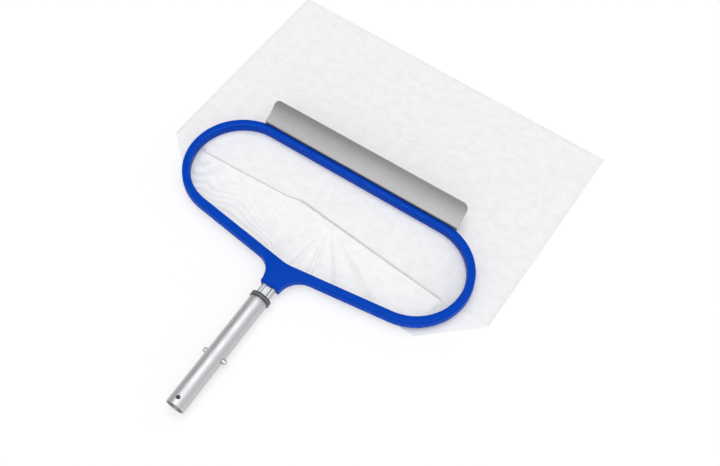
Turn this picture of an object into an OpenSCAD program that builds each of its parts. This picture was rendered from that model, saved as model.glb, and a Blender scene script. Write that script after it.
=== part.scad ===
// Leaf skimmer net: moulded frame with a fine mesh bag, scraper blade and a short spigot handle.
// Origin: centre of the handle tube's open end. +Y runs along the handle towards the front bar,
// +Z is up out of the frame's mouth, and the frame's mid-plane and the handle's axis lie at Z = 0.

/* [Mouth] */
// Clear width between the two ends of the frame
mouth_w = 478; // [420:1:520]
// Inner radius of the two rounded ends
corner_r = 80; // [68:1:92]
// Slant of the two rear arms against the front bar, in degrees
arm_angle = 7.602; // [5:0.001:10]

/* [Frame bar] */
// Width of the bar, seen from above
bar_w = 13.4; // [12.6:0.1:15]
// Height of the bar
bar_h = 15; // [14:0.1:17]
// Inner side wall of the channel that opens downwards
channel_wall = 3.2; // [2.6:0.1:3.6]
// Width of that channel
channel_w = 6.6; // [6.2:0.1:7]
// Thickness of the bar's top over the channel
bar_top = 3.5; // [2.6:0.1:4]

/* [Neck] */
// Width of the neck at its end
neck_w = 32; // [28:0.5:34]
// Length of the neck from the arms' outer corner to its end face
neck_len = 30; // [26:0.5:40]
// Radius of the fillets between neck and arms
neck_fillet = 35; // [26:1:38]
// Height and inset of the step along the neck's upper edge
neck_step = 1; // [0.5:0.1:1.5]
// Depth of the stem's socket in the neck
socket_depth = 29; // [24:0.5:30]

/* [Stem] */
// Diameter of each of the stem's two lobes
lobe_d = 7.8; // [6.5:0.1:9]
// Distance between the lobes' centres
lobe_spacing = 15.6; // [14:0.1:16]
// Thickness of the web between the lobes
web_t = 3.8; // [3:0.1:5]
// Length of stem that shows between neck and collar
stem_gap = 19.5; // [14:0.5:30]
// Depth of the stem in the tube plug
stem_in_plug = 40; // [30:1:44]

/* [Handle] */
// Outer diameter of the handle tube
tube_od = 28.5; // [28:0.1:30]
// Wall of the handle tube
tube_wall = 1.2; // [1:0.1:1.3]
// Length of the handle tube
tube_len = 191.5; // [180:0.5:260]
// Diameter of the hole across the tube near its open end
end_hole_d = 6.4; // [4:0.1:7]
// Distance of that hole from the open end
end_hole_y = 11; // [8:0.5:20]
// Diameter of the plug's collar
collar_od = 32.6; // [31.6:0.1:34]
// Thickness of the collar
collar_w = 7; // [6:0.5:10]
// Depth of the plug's body in the tube
plug_depth = 45; // [42:1:48]
// Thickness of the ring in the collar's groove
ring_d = 2.2; // [1.6:0.1:2.4]

/* [Snap buttons] */
// Diameter of each snap button
button_d = 7.8; // [6:0.1:9]
// How far a button stands out of the tube
button_out = 5.9; // [4:0.1:6.5]
// Distance of the buttons from the tube's open end
button_y = 88.5; // [80:0.5:96]
// Distance from the buttons to the centre of the spring's bend
spring_reach = 50; // [40:1:52]
// Thickness of the spring strip
spring_t = 0.8; // [0.5:0.1:1]
// Width of the spring strip
spring_w = 9; // [7:0.5:10]
// Radius of the spring's bend, at the middle of the strip
spring_bend_r = 3.4; // [2.5:0.1:4]

/* [Scraper] */
// Length of the scraper blade
blade_len = 360; // [300:1:372]
// Thickness of the blade
blade_t = 2; // [1.5:0.1:2.4]
// Radius to which the blade curls upwards
blade_curl_r = 47; // [40:1:60]
// Rise of the blade where it leaves the front bar, in degrees
blade_rise_start = 14; // [8:1:20]
// Rise of the blade at its edge, in degrees
blade_rise_end = 64; // [50:1:70]
// Radius of the blade's outer corners
blade_corner_r = 10; // [4:1:14]
// Height of the leg that lies against the bar's outer wall
blade_leg_h = 11; // [10:0.5:11.4]
// Number of rivets through that leg
rivet_count = 5; // [3:1:8]
// Diameter of a rivet's shank
rivet_d = 3.2; // [2.4:0.1:3.6]

/* [Net] */
// Thickness of the mesh with its crimp
net_t = 0.8; // [0.5:0.1:1]
// Width of the bag at its far seam
net_far_w = 604; // [560:1:640]
// Width of the bag at the fold under the mouth
net_near_w = 594; // [560:1:630]
// Distance between that fold and the far seam
net_reach = 372; // [300:1:450]
// Distance of the fold behind the front bar's inner face
fold_back = 84; // [60:1:100]
// Turn of the laid-out bag about the vertical, in degrees
net_turn = -1.7; // [-3:0.1:0]
// Width of the seam allowances between the panels
seam_w = 5; // [3:0.5:8]
// Diameter of the bead cord in the hem
bead_d = 3.8; // [3:0.1:4]

/* [Screws] */
// Diameter of the screws' shanks
screw_d = 2.9; // [2.4:0.1:3.2]
// Diameter of the screws' heads
screw_head_d = 6; // [5:0.1:6.4]

/* [Hidden] */

$fn = 96;
far = 1000;           // longer than the whole part, for cutting shapes
ply = 0.6;            // thickness of the hem's woven cloth
slip = 0.1;           // clearance of parts pressed or slid together
ease = 0.3;           // clearance of soft parts and of anything that moves

// Levels
bar_top_z = bar_h / 2;
bar_low_z = -bar_h / 2;
ground_z = -collar_od / 2;
channel_top_z = bar_top_z - bar_top;
channel_out_u = channel_wall + channel_w;

// Places along the handle
tube_r = tube_od / 2;
bore_r = tube_r - tube_wall;
neck_end_y = tube_len + collar_w + stem_gap;
arms_out_y = neck_end_y + neck_len;

// The mouth's outline: u is the distance outwards from the mouth's inner face
centre_x = mouth_w / 2 - corner_r;
apex_y = arms_out_y + bar_w / cos(arm_angle);
bend_r = 60;           // inner radius where the two arms meet
slant_len = (centre_x + corner_r * sin(arm_angle)) / cos(arm_angle);
arm_len = slant_len - bend_r * tan(arm_angle);
centre_y = round(10 * (apex_y + corner_r * cos(arm_angle) + slant_len * sin(arm_angle))) / 10;
front_y = centre_y + corner_r;
bar_front_y = front_y + bar_w;

function tangent_x(u) = centre_x + (corner_r + u) * sin(arm_angle);
function tangent_y(u) = centre_y - (corner_r + u) * cos(arm_angle);
function apex_at(u) = apex_y - u / cos(arm_angle);
// A point round the right (1) or left (-1) end, angle 0 pointing outwards along X
function end_point(side, angle, u) =
    [side * (centre_x + (corner_r + u) * cos(angle)), centre_y + (corner_r + u) * sin(angle)];

// Hem and lock strips, in the channel
bead_u = channel_wall + ease / 2 + ply + bead_d / 2 + slip;
sleeve_r = bead_d / 2 + slip + ply;
bead_z = channel_top_z - 0.2 - sleeve_r;
ply_u = bead_u - sleeve_r;
strip_u = ply_u + ply + 0.2;
strip_end_u = channel_out_u - slip;
strip_low_z = bar_low_z + 0.2;
strip_top_z = strip_low_z + 5.4;
strip_gap = 0.5;

// The laid-out bag
fold_y = front_y - fold_back;
back_top_z = ground_z + net_t;
front_low_z = back_top_z + ease;
front_top_z = front_low_z + net_t;
fold_r = net_t + ease / 2;
flap_len = fold_back + channel_wall;
flap_top_z = bar_low_z - 0.7;
flap_tilt = atan((flap_top_z - front_top_z - ease - net_t) / flap_len);

// Scraper
blade_y = bar_front_y + 0.05;
blade_root_z = bar_top_z - 1;
blade_turn = blade_rise_end - blade_rise_start;
blade_chord = 2 * blade_curl_r * sin(blade_turn / 2);
blade_chord_angle = (blade_rise_start + blade_rise_end) / 2;
rivet_z = bead_z + 0.3;
// The outer rivets stay inside the blade's ends and on the straight length of the bar
rivet_reach = min(blade_len / 2 - 30, centre_x - 9);
rivet_step = 2 * rivet_reach / (rivet_count - 1);
rivet_head_h = 1.3;
rivet_tail_h = 0.9;

// Stem
stem_start_y = tube_len + collar_w - stem_in_plug;
stem_end_y = neck_end_y + socket_depth - 1;
stem_screw_ys = [neck_end_y + 8, neck_end_y + 21];
screw_head_h = 2;

// Buttons and spring
flange_x = bore_r - 1.15;
flange_t = 1;
flange_r = button_d / 2 + 0.9;
button_tip_x = tube_r + button_out;
hole_ease = 0.3;
landing_x = flange_x - flange_t - slip - spring_t / 2;
bend_y = button_y + spring_reach;
landing_start_y = button_y + 6;
landing_end_y = button_y - 7;
bend_dist = norm([landing_x, bend_y - landing_start_y]);
leg_angle = atan2(landing_x, bend_y - landing_start_y) - asin(spring_bend_r / bend_dist);
leg_len = sqrt(bend_dist * bend_dist - spring_bend_r * spring_bend_r);

// Plug screw
plug_screw_y = tube_len - plug_depth / 2;
plug_screw_len = tube_r + 1.5;

// ---------------------------------------------------------------------------------------------
// Runs round the mouth. Each carries its child, a section drawn with X = u and Y = height.

module both_sides() {
    children();
    mirror([1, 0, 0]) children();
}

module front_run(trim = 0) {
    translate([-centre_x + trim, front_y, 0])
        rotate([90, 0, 90])
            linear_extrude(2 * (centre_x - trim)) children();
}

// The right end's own frame, and the same turned so that the arm runs along -X
module end_frame() {
    translate([centre_x, centre_y, 0]) children();
}

module arm_frame() {
    end_frame() rotate([0, 0, arm_angle]) children();
}

// Round the right end from the arm, through the given angle
module corner_from_arm(angle = 180 - arm_angle) {
    arm_frame() rotate([0, 0, -90]) rotate_extrude(angle = angle) translate([corner_r, 0]) children();
}

// From its outermost point to the front bar
module corner_at_front() {
    end_frame() rotate_extrude(angle = 90) translate([corner_r, 0]) children();
}

// From the right end to the bend between the arms
module arm_run() {
    arm_frame()
        translate([0, -corner_r, 0]) rotate([90, 0, -90]) linear_extrude(arm_len) children();
}

// Right half of the bend between the arms, as far as trim from the middle
module bend_run(trim = 0) {
    difference() {
        arm_frame()
            translate([-arm_len, bend_r - corner_r, 0])
                mirror([1, 0, 0])
                    rotate([0, 0, -90])
                        rotate_extrude(angle = 2 * arm_angle) translate([bend_r, 0]) children();
        translate([trim - far, 0, -far / 2]) cube([far, far, far]);
    }
}

module whole_run() {
    front_run() children();
    both_sides() {
        corner_from_arm() children();
        arm_run() children();
        bend_run() children();
    }
}

// The mouth's outline moved outwards by u, as a flat shape
module mouth_outline(u) {
    r = corner_r + u;
    both_sides() translate([centre_x, centre_y]) circle(r);
    polygon([
        [-centre_x, centre_y + r], [centre_x, centre_y + r],
        [tangent_x(u), tangent_y(u)], [0, apex_at(u)], [-tangent_x(u), tangent_y(u)]
    ]);
}

// ---------------------------------------------------------------------------------------------
// Sections of the bar

// Crowned top, rounded shoulders, a thin lip along the foot of the outer wall and the channel
module bar_section() {
    top = bar_top_z;
    low = bar_low_z;
    polygon([
        [0.5, low], [0, low + 0.5], [0, top - 2.8], [0.3, top - 1.6], [1, top - 0.8],
        [2.2, top - 0.25], [3.6, top], [bar_w - 5.2, top], [bar_w - 3.4, top - 0.35],
        [bar_w - 1.9, top - 1.1], [bar_w - 1, top - 2.2], [bar_w - 0.6, top - 3.6],
        [bar_w - 0.6, low + 3.4], [bar_w, low + 2.9], [bar_w, low + 0.5], [bar_w - 0.5, low],
        [channel_out_u, low], [channel_out_u, channel_top_z],
        [channel_wall + channel_w / 2, channel_top_z + 0.2], [channel_wall, channel_top_z],
        [channel_wall, low]
    ]);
}

module channel_section() {
    translate([channel_wall, bar_low_z - 1])
        square([channel_w, channel_top_z - bar_low_z + 1]);
}

module hem_section(low_z) {
    difference() {
        union() {
            translate([bead_u, bead_z]) circle(sleeve_r);
            translate([ply_u, low_z]) square([ply, bead_z - low_z]);
        }
        translate([bead_u, bead_z]) circle(sleeve_r - ply);
    }
}

module bead_section() {
    translate([bead_u, bead_z]) circle(bead_d / 2);
}

// A flat strip with a ridge that grips the channel's outer wall
module strip_section() {
    translate([strip_u, strip_low_z])
        square([strip_end_u - strip_u - 0.4, strip_top_z - strip_low_z]);
    translate([strip_end_u - 1, strip_low_z + 1.6]) square([1, 1.8]);
}

// ---------------------------------------------------------------------------------------------
// Frame

module stem_section(grow) {
    for (side = [-1, 1])
        translate([side * lobe_spacing / 2, 0]) circle(lobe_d / 2 + grow);
    square([lobe_spacing, web_t + 2 * grow], center = true);
}

// Along +Y from y0 to y1, with the lobes side by side along X
module stem_shape(y0, y1, grow = 0) {
    translate([0, y1, 0]) rotate([90, 0, 0]) linear_extrude(y1 - y0) stem_section(grow);
}

module neck_outline(inset) {
    w = neck_w / 2 - inset;
    fillet_x = neck_w / 2 + neck_fillet;
    fillet_y = arms_out_y + fillet_x * tan(arm_angle) - neck_fillet / cos(arm_angle);
    reach_x = fillet_x - neck_fillet * sin(arm_angle);
    reach_y = fillet_y + neck_fillet * cos(arm_angle);
    difference() {
        polygon([
            [-reach_x, neck_end_y + inset], [reach_x, neck_end_y + inset], [reach_x, reach_y],
            [0, apex_y - 3], [-reach_x, reach_y]
        ]);
        both_sides() translate([fillet_x, fillet_y]) circle(neck_fillet + inset);
        both_sides() translate([w, neck_end_y - 1]) square([far, fillet_y - neck_end_y + 1]);
    }
}

module neck() {
    translate([0, 0, bar_low_z])
        linear_extrude(bar_h - neck_step) neck_outline(0);
    translate([0, 0, bar_top_z - 2 * neck_step])
        linear_extrude(2 * neck_step) neck_outline(neck_step);
}

module frame_rim() {
    color("#0a4fc0")
        difference() {
            union() {
                whole_run() bar_section();
                difference() {
                    neck();
                    both_sides() {
                        arm_run() channel_section();
                        bend_run() channel_section();
                    }
                }
            }
            stem_shape(neck_end_y - 1, neck_end_y + socket_depth, slip);
            for (y = stem_screw_ys) {
                translate([0, y, bar_low_z - 1]) cylinder(h = bar_h / 2, r = screw_d / 2 + slip);
                translate([0, y, bar_low_z - 1])
                    cylinder(h = screw_head_h + 1.2, r = screw_head_d / 2 + 0.3);
            }
            for (i = [0 : rivet_count - 1])
                translate([rivet_x(i), bar_front_y + 1, rivet_z])
                    rotate([90, 0, 0])
                        cylinder(h = bar_w - channel_out_u + 2, r = rivet_d / 2 + slip);
        }
}

// ---------------------------------------------------------------------------------------------
// Hem and its locking strips

module hem_cord() {
    color("white") whole_run() bead_section();
}

// Its cloth ends where the flap of the front panel meets the front bar
module hem_front() {
    color("whitesmoke") {
        front_run() hem_section(flap_top_z);
        both_sides() corner_at_front() hem_section(flap_top_z);
    }
}

module hem_back() {
    color("whitesmoke")
        both_sides() {
            corner_from_arm(90 - arm_angle) hem_section(back_top_z);
            arm_run() hem_section(back_top_z);
            bend_run() hem_section(back_top_z);
        }
}

module lock_strip_front() {
    color("#0a4fc0") front_run(strip_gap / 2) strip_section();
}

module lock_strip_right() {
    color("#0a4fc0") {
        corner_from_arm() strip_section();
        arm_run() strip_section();
        bend_run(strip_gap / 2) strip_section();
    }
}

module lock_strip_left() {
    mirror([1, 0, 0]) lock_strip_right();
}

// ---------------------------------------------------------------------------------------------
// Net, laid out flat. The bag's own frame has X along the fold and Y towards the far seam.

module bag_frame() {
    translate([0, fold_y, 0]) rotate([0, 0, net_turn]) children();
}

module bag_outline() {
    polygon([
        [-net_near_w / 2, 0], [-net_far_w / 2, net_reach],
        [net_far_w / 2, net_reach], [net_near_w / 2, 0]
    ]);
}

// The back panel's tail, which narrows from the fold's ends to the arms
module tail_outline() {
    u = ply_u + ply;
    across = net_near_w / 2 * cos(net_turn);
    along = net_near_w / 2 * sin(net_turn);
    polygon([
        [-across, fold_y - along], [across, fold_y + along],
        end_point(1, -59, bar_w + 9),
        [tangent_x(u), tangent_y(u)], [0, apex_at(u)], [-tangent_x(u), tangent_y(u)],
        end_point(-1, -70, u), end_point(-1, -59, u), end_point(-1, -48, u),
        end_point(-1, -14, bar_w + 14)
    ]);
}

module back_panel() {
    color("ghostwhite")
        translate([0, 0, ground_z])
            linear_extrude(net_t) {
                bag_frame() bag_outline();
                tail_outline();
            }
}

// Lower layer, a round fold and the flap that rises to the front bar
module front_panel() {
    color("white") {
        bag_frame() {
            translate([0, 0, front_low_z]) linear_extrude(net_t) bag_outline();
            translate([-net_near_w / 2, 0, front_low_z + fold_r])
                rotate([0, 90, 0]) cylinder(h = net_near_w, r = fold_r);
        }
        intersection() {
            bag_frame()
                translate([-far / 2, 0, front_low_z + 2 * fold_r])
                    rotate([flap_tilt, 0, 0])
                        translate([0, 0, -net_t]) cube([far, far, net_t]);
            translate([0, 0, ground_z]) linear_extrude(bar_h) mouth_outline(ply_u - slip);
        }
    }
}

module side_seam(side) {
    low = net_near_w / 2;
    high = net_far_w / 2;
    color("white")
        bag_frame()
            translate([0, 0, back_top_z])
                linear_extrude(ease)
                    polygon([
                        [side * low, 3], [side * (low - seam_w), 3],
                        [side * (high - seam_w), net_reach - seam_w - 1],
                        [side * high, net_reach - seam_w - 1]
                    ]);
}

module side_seam_left() {
    side_seam(-1);
}

module side_seam_right() {
    side_seam(1);
}

module end_seam() {
    color("white")
        bag_frame()
            translate([-net_far_w / 2, net_reach - seam_w, back_top_z])
                cube([net_far_w, seam_w, ease]);
}

// ---------------------------------------------------------------------------------------------
// Scraper

function rivet_x(i) = (i - (rivet_count - 1) / 2) * rivet_step;

// Leg down the bar's outer wall, then an arc that curls upwards
module blade_section() {
    reach = far / 4;
    centre = [blade_curl_r * -sin(blade_rise_start), blade_curl_r * cos(blade_rise_start)];
    translate([blade_t / 2, 0])
        intersection() {
            translate(centre)
                difference() {
                    circle(blade_curl_r + blade_t / 2);
                    circle(blade_curl_r - blade_t / 2);
                }
            translate(centre)
                polygon([
                    [0, 0],
                    [reach * sin(blade_rise_start), -reach * cos(blade_rise_start)],
                    [reach, -reach],
                    [reach * sin(blade_rise_end), -reach * cos(blade_rise_end)]
                ]);
        }
    translate([0, -blade_leg_h]) square([blade_t, blade_leg_h]);
    translate([blade_t / 2, 0]) circle(blade_t / 2);
}

// What rounds the blade's outer corner at +X, seen square to its chord
module blade_corner_cutter() {
    r = blade_corner_r;
    rotate([blade_chord_angle, 0, 0])
        translate([blade_len / 2 - r + 0.2, blade_chord + blade_t / 2 - r, -far / 2])
            linear_extrude(far)
                difference() {
                    square([r + 1, r + 2 * blade_t]);
                    circle(r);
                }
}

module scraper_blade() {
    color("#9a9b9c")
        difference() {
            translate([0, blade_y, blade_root_z])
                difference() {
                    translate([-blade_len / 2, 0, 0])
                        rotate([90, 0, 90]) linear_extrude(blade_len) blade_section();
                    both_sides() blade_corner_cutter();
                }
            for (i = [0 : rivet_count - 1])
                translate([rivet_x(i), blade_y + blade_t + 1, rivet_z])
                    rotate([90, 0, 0]) cylinder(h = blade_t + 2, r = rivet_d / 2 + slip);
        }
}

// Shank along -Y from a domed head on the leg to a flat tail in the channel
module rivet() {
    shank_end = front_y + channel_out_u - rivet_tail_h;
    head_y = blade_y + blade_t;
    translate([0, head_y, 0])
        rotate([90, 0, 0]) cylinder(h = head_y - shank_end, r = rivet_d / 2);
    translate([0, head_y + rivet_head_h, 0])
        rotate([90, 0, 0])
            rotate_extrude()
                polygon([
                    [0, 0], [rivet_d * 0.4, 0.05], [rivet_d * 0.7, 0.4],
                    [rivet_d * 0.95, rivet_head_h], [0, rivet_head_h]
                ]);
    translate([0, shank_end + rivet_tail_h, 0])
        rotate([90, 0, 0]) cylinder(h = rivet_tail_h, r = rivet_d * 0.7);
}

module scraper_rivets() {
    color("silver")
        for (i = [0 : rivet_count - 1]) translate([rivet_x(i), 0, rivet_z]) rivet();
}

// ---------------------------------------------------------------------------------------------
// Stem, plug and handle tube

module stem() {
    color("#d8dadc")
        difference() {
            stem_shape(stem_start_y, stem_end_y);
            for (y = stem_screw_ys)
                translate([0, y, -far / 2]) cylinder(h = far, r = screw_d / 2 + slip);
            translate([0, plug_screw_y, -far / 2]) cylinder(h = far, r = screw_d / 2 + slip);
        }
}

// Screw pointing up, with its head's underside at z = 0 and the head below it
module screw(length) {
    cylinder(h = length - 2, r = screw_d / 2);
    translate([0, 0, length - 2]) cylinder(h = 2, r1 = screw_d / 2, r2 = 0.3);
    translate([0, 0, -screw_head_h])
        difference() {
            cylinder(h = screw_head_h, r = screw_head_d / 2);
            for (a = [0, 90])
                rotate([0, 0, a]) translate([-screw_head_d / 4, -0.4, -1])
                    cube([screw_head_d / 2, 0.8, 2.2]);
        }
}

module stem_screws() {
    color("silver")
        for (y = stem_screw_ys)
            translate([0, y, bar_low_z + screw_head_h + 0.2])
                screw(bar_h / 2 - screw_head_h + web_t / 2 - 1.4);
}

module tube_plug() {
    collar_r = collar_od / 2;
    groove_y = tube_len + collar_w / 2;
    color("#55585b")
        difference() {
            translate([0, tube_len + collar_w, 0])
                rotate([90, 0, 0])
                    union() {
                        rotate_extrude()
                            polygon([
                                [0, 0], [collar_r - 0.7, 0], [collar_r, 0.7],
                                [collar_r, collar_w - 0.7], [collar_r - 0.7, collar_w],
                                [0, collar_w]
                            ]);
                        cylinder(h = collar_w + plug_depth, r = bore_r - slip);
                    }
            translate([0, groove_y + ring_d / 2 + slip, 0])
                rotate([90, 0, 0])
                    difference() {
                        cylinder(h = ring_d + 2 * slip, r = collar_r + 1);
                        translate([0, 0, -1])
                            cylinder(h = ring_d + 2, r = collar_r - ring_d + slip);
                    }
            stem_shape(stem_start_y - 1, tube_len + collar_w + 1, slip);
            translate([0, plug_screw_y, -tube_r]) cylinder(h = tube_r, r = screw_d / 2 + slip);
        }
}

module collar_ring() {
    color("#8b8e90")
        translate([0, tube_len + collar_w / 2, 0])
            rotate([90, 0, 0])
                rotate_extrude()
                    translate([collar_od / 2 - ring_d / 2, 0]) circle(ring_d / 2 - slip);
}

module plug_screw() {
    color("silver")
        translate([0, plug_screw_y, -tube_r - 0.05]) screw(plug_screw_len);
}

module handle_tube() {
    color("#b9bbbd")
        difference() {
            translate([0, tube_len, 0]) rotate([90, 0, 0]) cylinder(h = tube_len, r = tube_r);
            translate([0, tube_len + 1, 0]) rotate([90, 0, 0]) cylinder(h = tube_len + 2, r = bore_r);
            translate([-tube_od, button_y, 0])
                rotate([0, 90, 0]) cylinder(h = 2 * tube_od, r = button_d / 2 + hole_ease);
            translate([0, end_hole_y, -tube_od]) cylinder(h = 2 * tube_od, r = end_hole_d / 2);
            translate([0, plug_screw_y, -tube_od]) cylinder(h = tube_od, r = screw_d / 2 + 2 * slip);
        }
}

// ---------------------------------------------------------------------------------------------
// Snap buttons and their spring

module spring_outline() {
    difference() {
        intersection() {
            circle(spring_bend_r + spring_t / 2);
            polygon([
                [0, 0], [20 * cos(leg_angle), 20 * sin(leg_angle)], [20, 40], [-20, 40],
                [-20 * cos(leg_angle), 20 * sin(leg_angle)]
            ]);
        }
        circle(spring_bend_r - spring_t / 2);
    }
    both_sides() {
        rotate([0, 0, leg_angle])
            translate([spring_bend_r - spring_t / 2, -leg_len - 0.1])
                square([spring_t, leg_len + 0.12]);
        translate([landing_x - spring_t / 2, landing_end_y - bend_y])
            square([spring_t, landing_start_y - landing_end_y]);
    }
}

module v_spring() {
    color("lightgray")
        translate([0, bend_y, -spring_w / 2]) linear_extrude(spring_w) spring_outline();
}

// Along +X: a flange inside the tube, a shank through its wall and a domed tip
module snap_button() {
    r = button_d / 2;
    inner = flange_x - flange_t;
    translate([inner, button_y, 0])
        rotate([0, 90, 0])
            rotate_extrude()
                polygon([
                    [0, 0], [flange_r, 0], [flange_r, flange_t], [r, flange_t],
                    [r, button_tip_x - inner - 2], [r * 0.94, button_tip_x - inner - 1.1],
                    [r * 0.78, button_tip_x - inner - 0.45], [r * 0.5, button_tip_x - inner - 0.1],
                    [0, button_tip_x - inner]
                ]);
}

module snap_button_right() {
    color("#c9cbcc") snap_button();
}

module snap_button_left() {
    color("#c9cbcc") mirror([1, 0, 0]) snap_button();
}

// ---------------------------------------------------------------------------------------------

frame_rim();
hem_cord();
hem_front();
hem_back();
lock_strip_front();
lock_strip_left();
lock_strip_right();
front_panel();
back_panel();
side_seam_left();
side_seam_right();
end_seam();
scraper_blade();
scraper_rivets();
stem();
stem_screws();
tube_plug();
collar_ring();
plug_screw();
handle_tube();
v_spring();
snap_button_left();
snap_button_right();
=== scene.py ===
"""Leaf skimmer net for pools and spas: its visible pieces with their finishes, and a plain studio.

The frame's sizes are in metres on the panel and in millimetres inside the functions.
+Y runs along the handle towards the front bar, +Z is up out of the frame's mouth.
"""

import math

import bpy
import numpy as np
from mathutils import Euler, Matrix, Vector


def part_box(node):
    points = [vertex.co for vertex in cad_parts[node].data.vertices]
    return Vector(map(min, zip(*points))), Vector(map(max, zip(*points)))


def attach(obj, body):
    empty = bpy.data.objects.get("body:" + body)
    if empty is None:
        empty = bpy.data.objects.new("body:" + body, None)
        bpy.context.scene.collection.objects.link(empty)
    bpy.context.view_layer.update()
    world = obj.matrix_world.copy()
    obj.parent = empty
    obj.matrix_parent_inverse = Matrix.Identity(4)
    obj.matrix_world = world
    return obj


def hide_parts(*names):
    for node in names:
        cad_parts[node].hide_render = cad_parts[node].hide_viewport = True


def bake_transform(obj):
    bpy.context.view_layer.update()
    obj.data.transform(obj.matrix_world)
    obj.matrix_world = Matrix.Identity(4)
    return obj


bl_info = {
    "name": "Leaf Skimmer Net",
    "version": (1, 0, 0),
    "blender": (4, 5, 0),
    "location": "3D View > Sidebar > Skimmer",
    "description": "Builds the frame, bag, scraper and spigot handle of a leaf skimmer net",
    "category": "Add Mesh",
}

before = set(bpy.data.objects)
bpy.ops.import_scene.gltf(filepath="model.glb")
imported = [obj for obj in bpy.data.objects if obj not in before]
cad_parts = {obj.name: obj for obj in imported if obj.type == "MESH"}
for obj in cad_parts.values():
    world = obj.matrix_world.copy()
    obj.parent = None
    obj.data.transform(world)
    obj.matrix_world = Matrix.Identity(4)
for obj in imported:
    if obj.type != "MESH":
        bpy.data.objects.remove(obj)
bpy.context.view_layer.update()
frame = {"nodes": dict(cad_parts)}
MM = 0.001
VISIBLE = "_visible"


# ---------------------------------------------------------------------------------------------
# Sizes and colours


def linear(hex_colour):
    """An sRGB hex colour as linear red, green and blue."""
    c = np.array([int(hex_colour[i : i + 2], 16) for i in (1, 3, 5)]) / 255
    return tuple(np.where(c <= 0.04045, c / 12.92, ((c + 0.055) / 1.055) ** 2.4).tolist())


def packed_size(node, axis):
    """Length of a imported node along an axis, in metres."""
    low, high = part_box(node)
    return high[axis] - low[axis]


def length(name, description, default):
    """A length on the panel, in metres."""
    return bpy.props.FloatProperty(
        name=name, description=description, default=default, min=0, precision=4, unit="LENGTH"
    )


def angle(name, description, default):
    """An angle on the panel, given here in degrees."""
    return bpy.props.FloatProperty(
        name=name, description=description, default=math.radians(default), unit="ROTATION"
    )


def colour(name, description, hex_colour):
    """A colour on the panel."""
    return bpy.props.FloatVectorProperty(
        name=name, description=description, default=linear(hex_colour), subtype="COLOR", min=0, max=1
    )


class SkimmerFrameSizes(bpy.types.PropertyGroup):
    """Sizes of the blue frame, its hem and the scraper blade."""

    mouth_width: length("Mouth width", "Clear width between the two ends of the frame", 0.478)
    corner_radius: length("End radius", "Inner radius of the two rounded ends", 0.080)
    arm_slant: angle("Arm slant", "Slant of the two rear arms against the front bar", 7.602)
    bend_radius: length("Bend radius", "Inner radius where the two arms meet", 0.060)
    bar_width: length("Bar width", "Width of the bar, seen from above", 0.0134)
    bar_height: length("Bar height", "Height of the bar", packed_size("lock_strip_front", 2) + 0.0096)
    neck_width: length("Neck width", "Width of the neck at its end", 0.032)
    neck_length: length("Neck length", "From the arms' outer corner to the neck's end", 0.030)
    neck_fillet: length("Neck fillet", "Radius of the fillets between neck and arms", 0.035)
    blade_length: length("Blade length", "Length of the scraper blade", packed_size("scraper_blade", 0))
    blade_thickness: length("Blade thickness", "Thickness of the scraper blade", 0.002)
    blade_curl: length("Blade curl", "Radius to which the blade curls upwards", 0.047)
    blade_corner: length("Blade corners", "Radius of the blade's outer corners", 0.010)


class SkimmerHandleSizes(bpy.types.PropertyGroup):
    """Sizes of the stem, plug, tube, buttons and spring."""

    tube_diameter: length("Tube diameter", "Outer diameter of the tube", packed_size("handle_tube", 0))
    tube_length: length("Tube length", "Length of the tube", packed_size("handle_tube", 1))
    tube_wall: length("Tube wall", "Wall of the tube", 0.0012)
    collar_diameter: length("Collar", "Diameter of the plug's collar", packed_size("tube_plug", 0))
    collar_width: length("Collar width", "Thickness of the plug's collar", 0.007)
    stem_gap: length("Stem gap", "Length of stem between neck and collar", 0.0195)
    lobe_diameter: length("Lobe", "Diameter of each of the stem's two lobes", packed_size("stem", 2))
    lobe_spacing: length("Lobe spacing", "Distance between the lobes' centres", 0.0156)
    web: length("Web", "Thickness of the web between the lobes", 0.0038)
    end_hole: length("End hole", "Diameter of the hole near the open end", 0.0064)
    end_hole_place: length("End hole place", "Distance of that hole from the open end", 0.011)
    button_diameter: length("Button", "Diameter of each snap button", 0.0078)
    button_stand: length("Button stand", "How far a button stands out of the tube", 0.0059)
    button_place: length("Button place", "Distance of the buttons from the open end", 0.0885)
    spring_reach: length("Spring reach", "From the buttons to the spring's bend", 0.050)


class SkimmerNetSizes(bpy.types.PropertyGroup):
    """Sizes of the bag and how it lies."""

    near_width: length("Near width", "Width of the bag at the fold", 0.594)
    far_width: length("Far width", "Width of the bag at the far seam", 0.604)
    reach: length("Reach", "Distance between the fold and the far seam", 0.372)
    fold_back: length("Fold", "Distance of the fold behind the front bar", 0.084)
    turn: angle("Turn", "Turn of the laid-out bag", -1.7)
    thread_spacing: length("Threads", "Spacing of the drawn threads", 0.0016)
    fold_height: length("Fold height", "Height of the soft folds behind the crease", 0.0013)
    seam_width: length("Seam width", "Width of the sewn edges", 0.005)


class SkimmerColours(bpy.types.PropertyGroup):
    """Colours of the materials."""

    frame: colour("Frame", "Moulded polypropylene", "#0041B4")
    # colour of the scuffs, which also paints highlight lines along the frame's edges
    scuff_and_highlight_colour: colour("Scuffs", "Rubbed edges of the frame", "#5C90EA")
    blade: colour("Blade", "Soft vinyl", "#B2B2B2")
    aluminium: colour("Aluminium", "Drawn tube and stem", "#CFD0D2")
    plug: colour("Plug", "Moulded nylon", "#45484B")
    ring: colour("Ring", "Rubber ring", "#85888A")
    button: colour("Buttons", "Nickel plate", "#CFCFD0")
    steel: colour("Steel", "Fasteners and spring", "#BFC0C1")
    mesh: colour("Mesh", "Polyester mesh", "#FCFCFC")
    hem: colour("Hem", "Woven hem cloth", "#EDEEF0")
    cord: colour("Cord", "Braided bead cord", "#E4E4E2")
    floor: colour("Floor", "Floor of the studio", "#FCFCFC")


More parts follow.
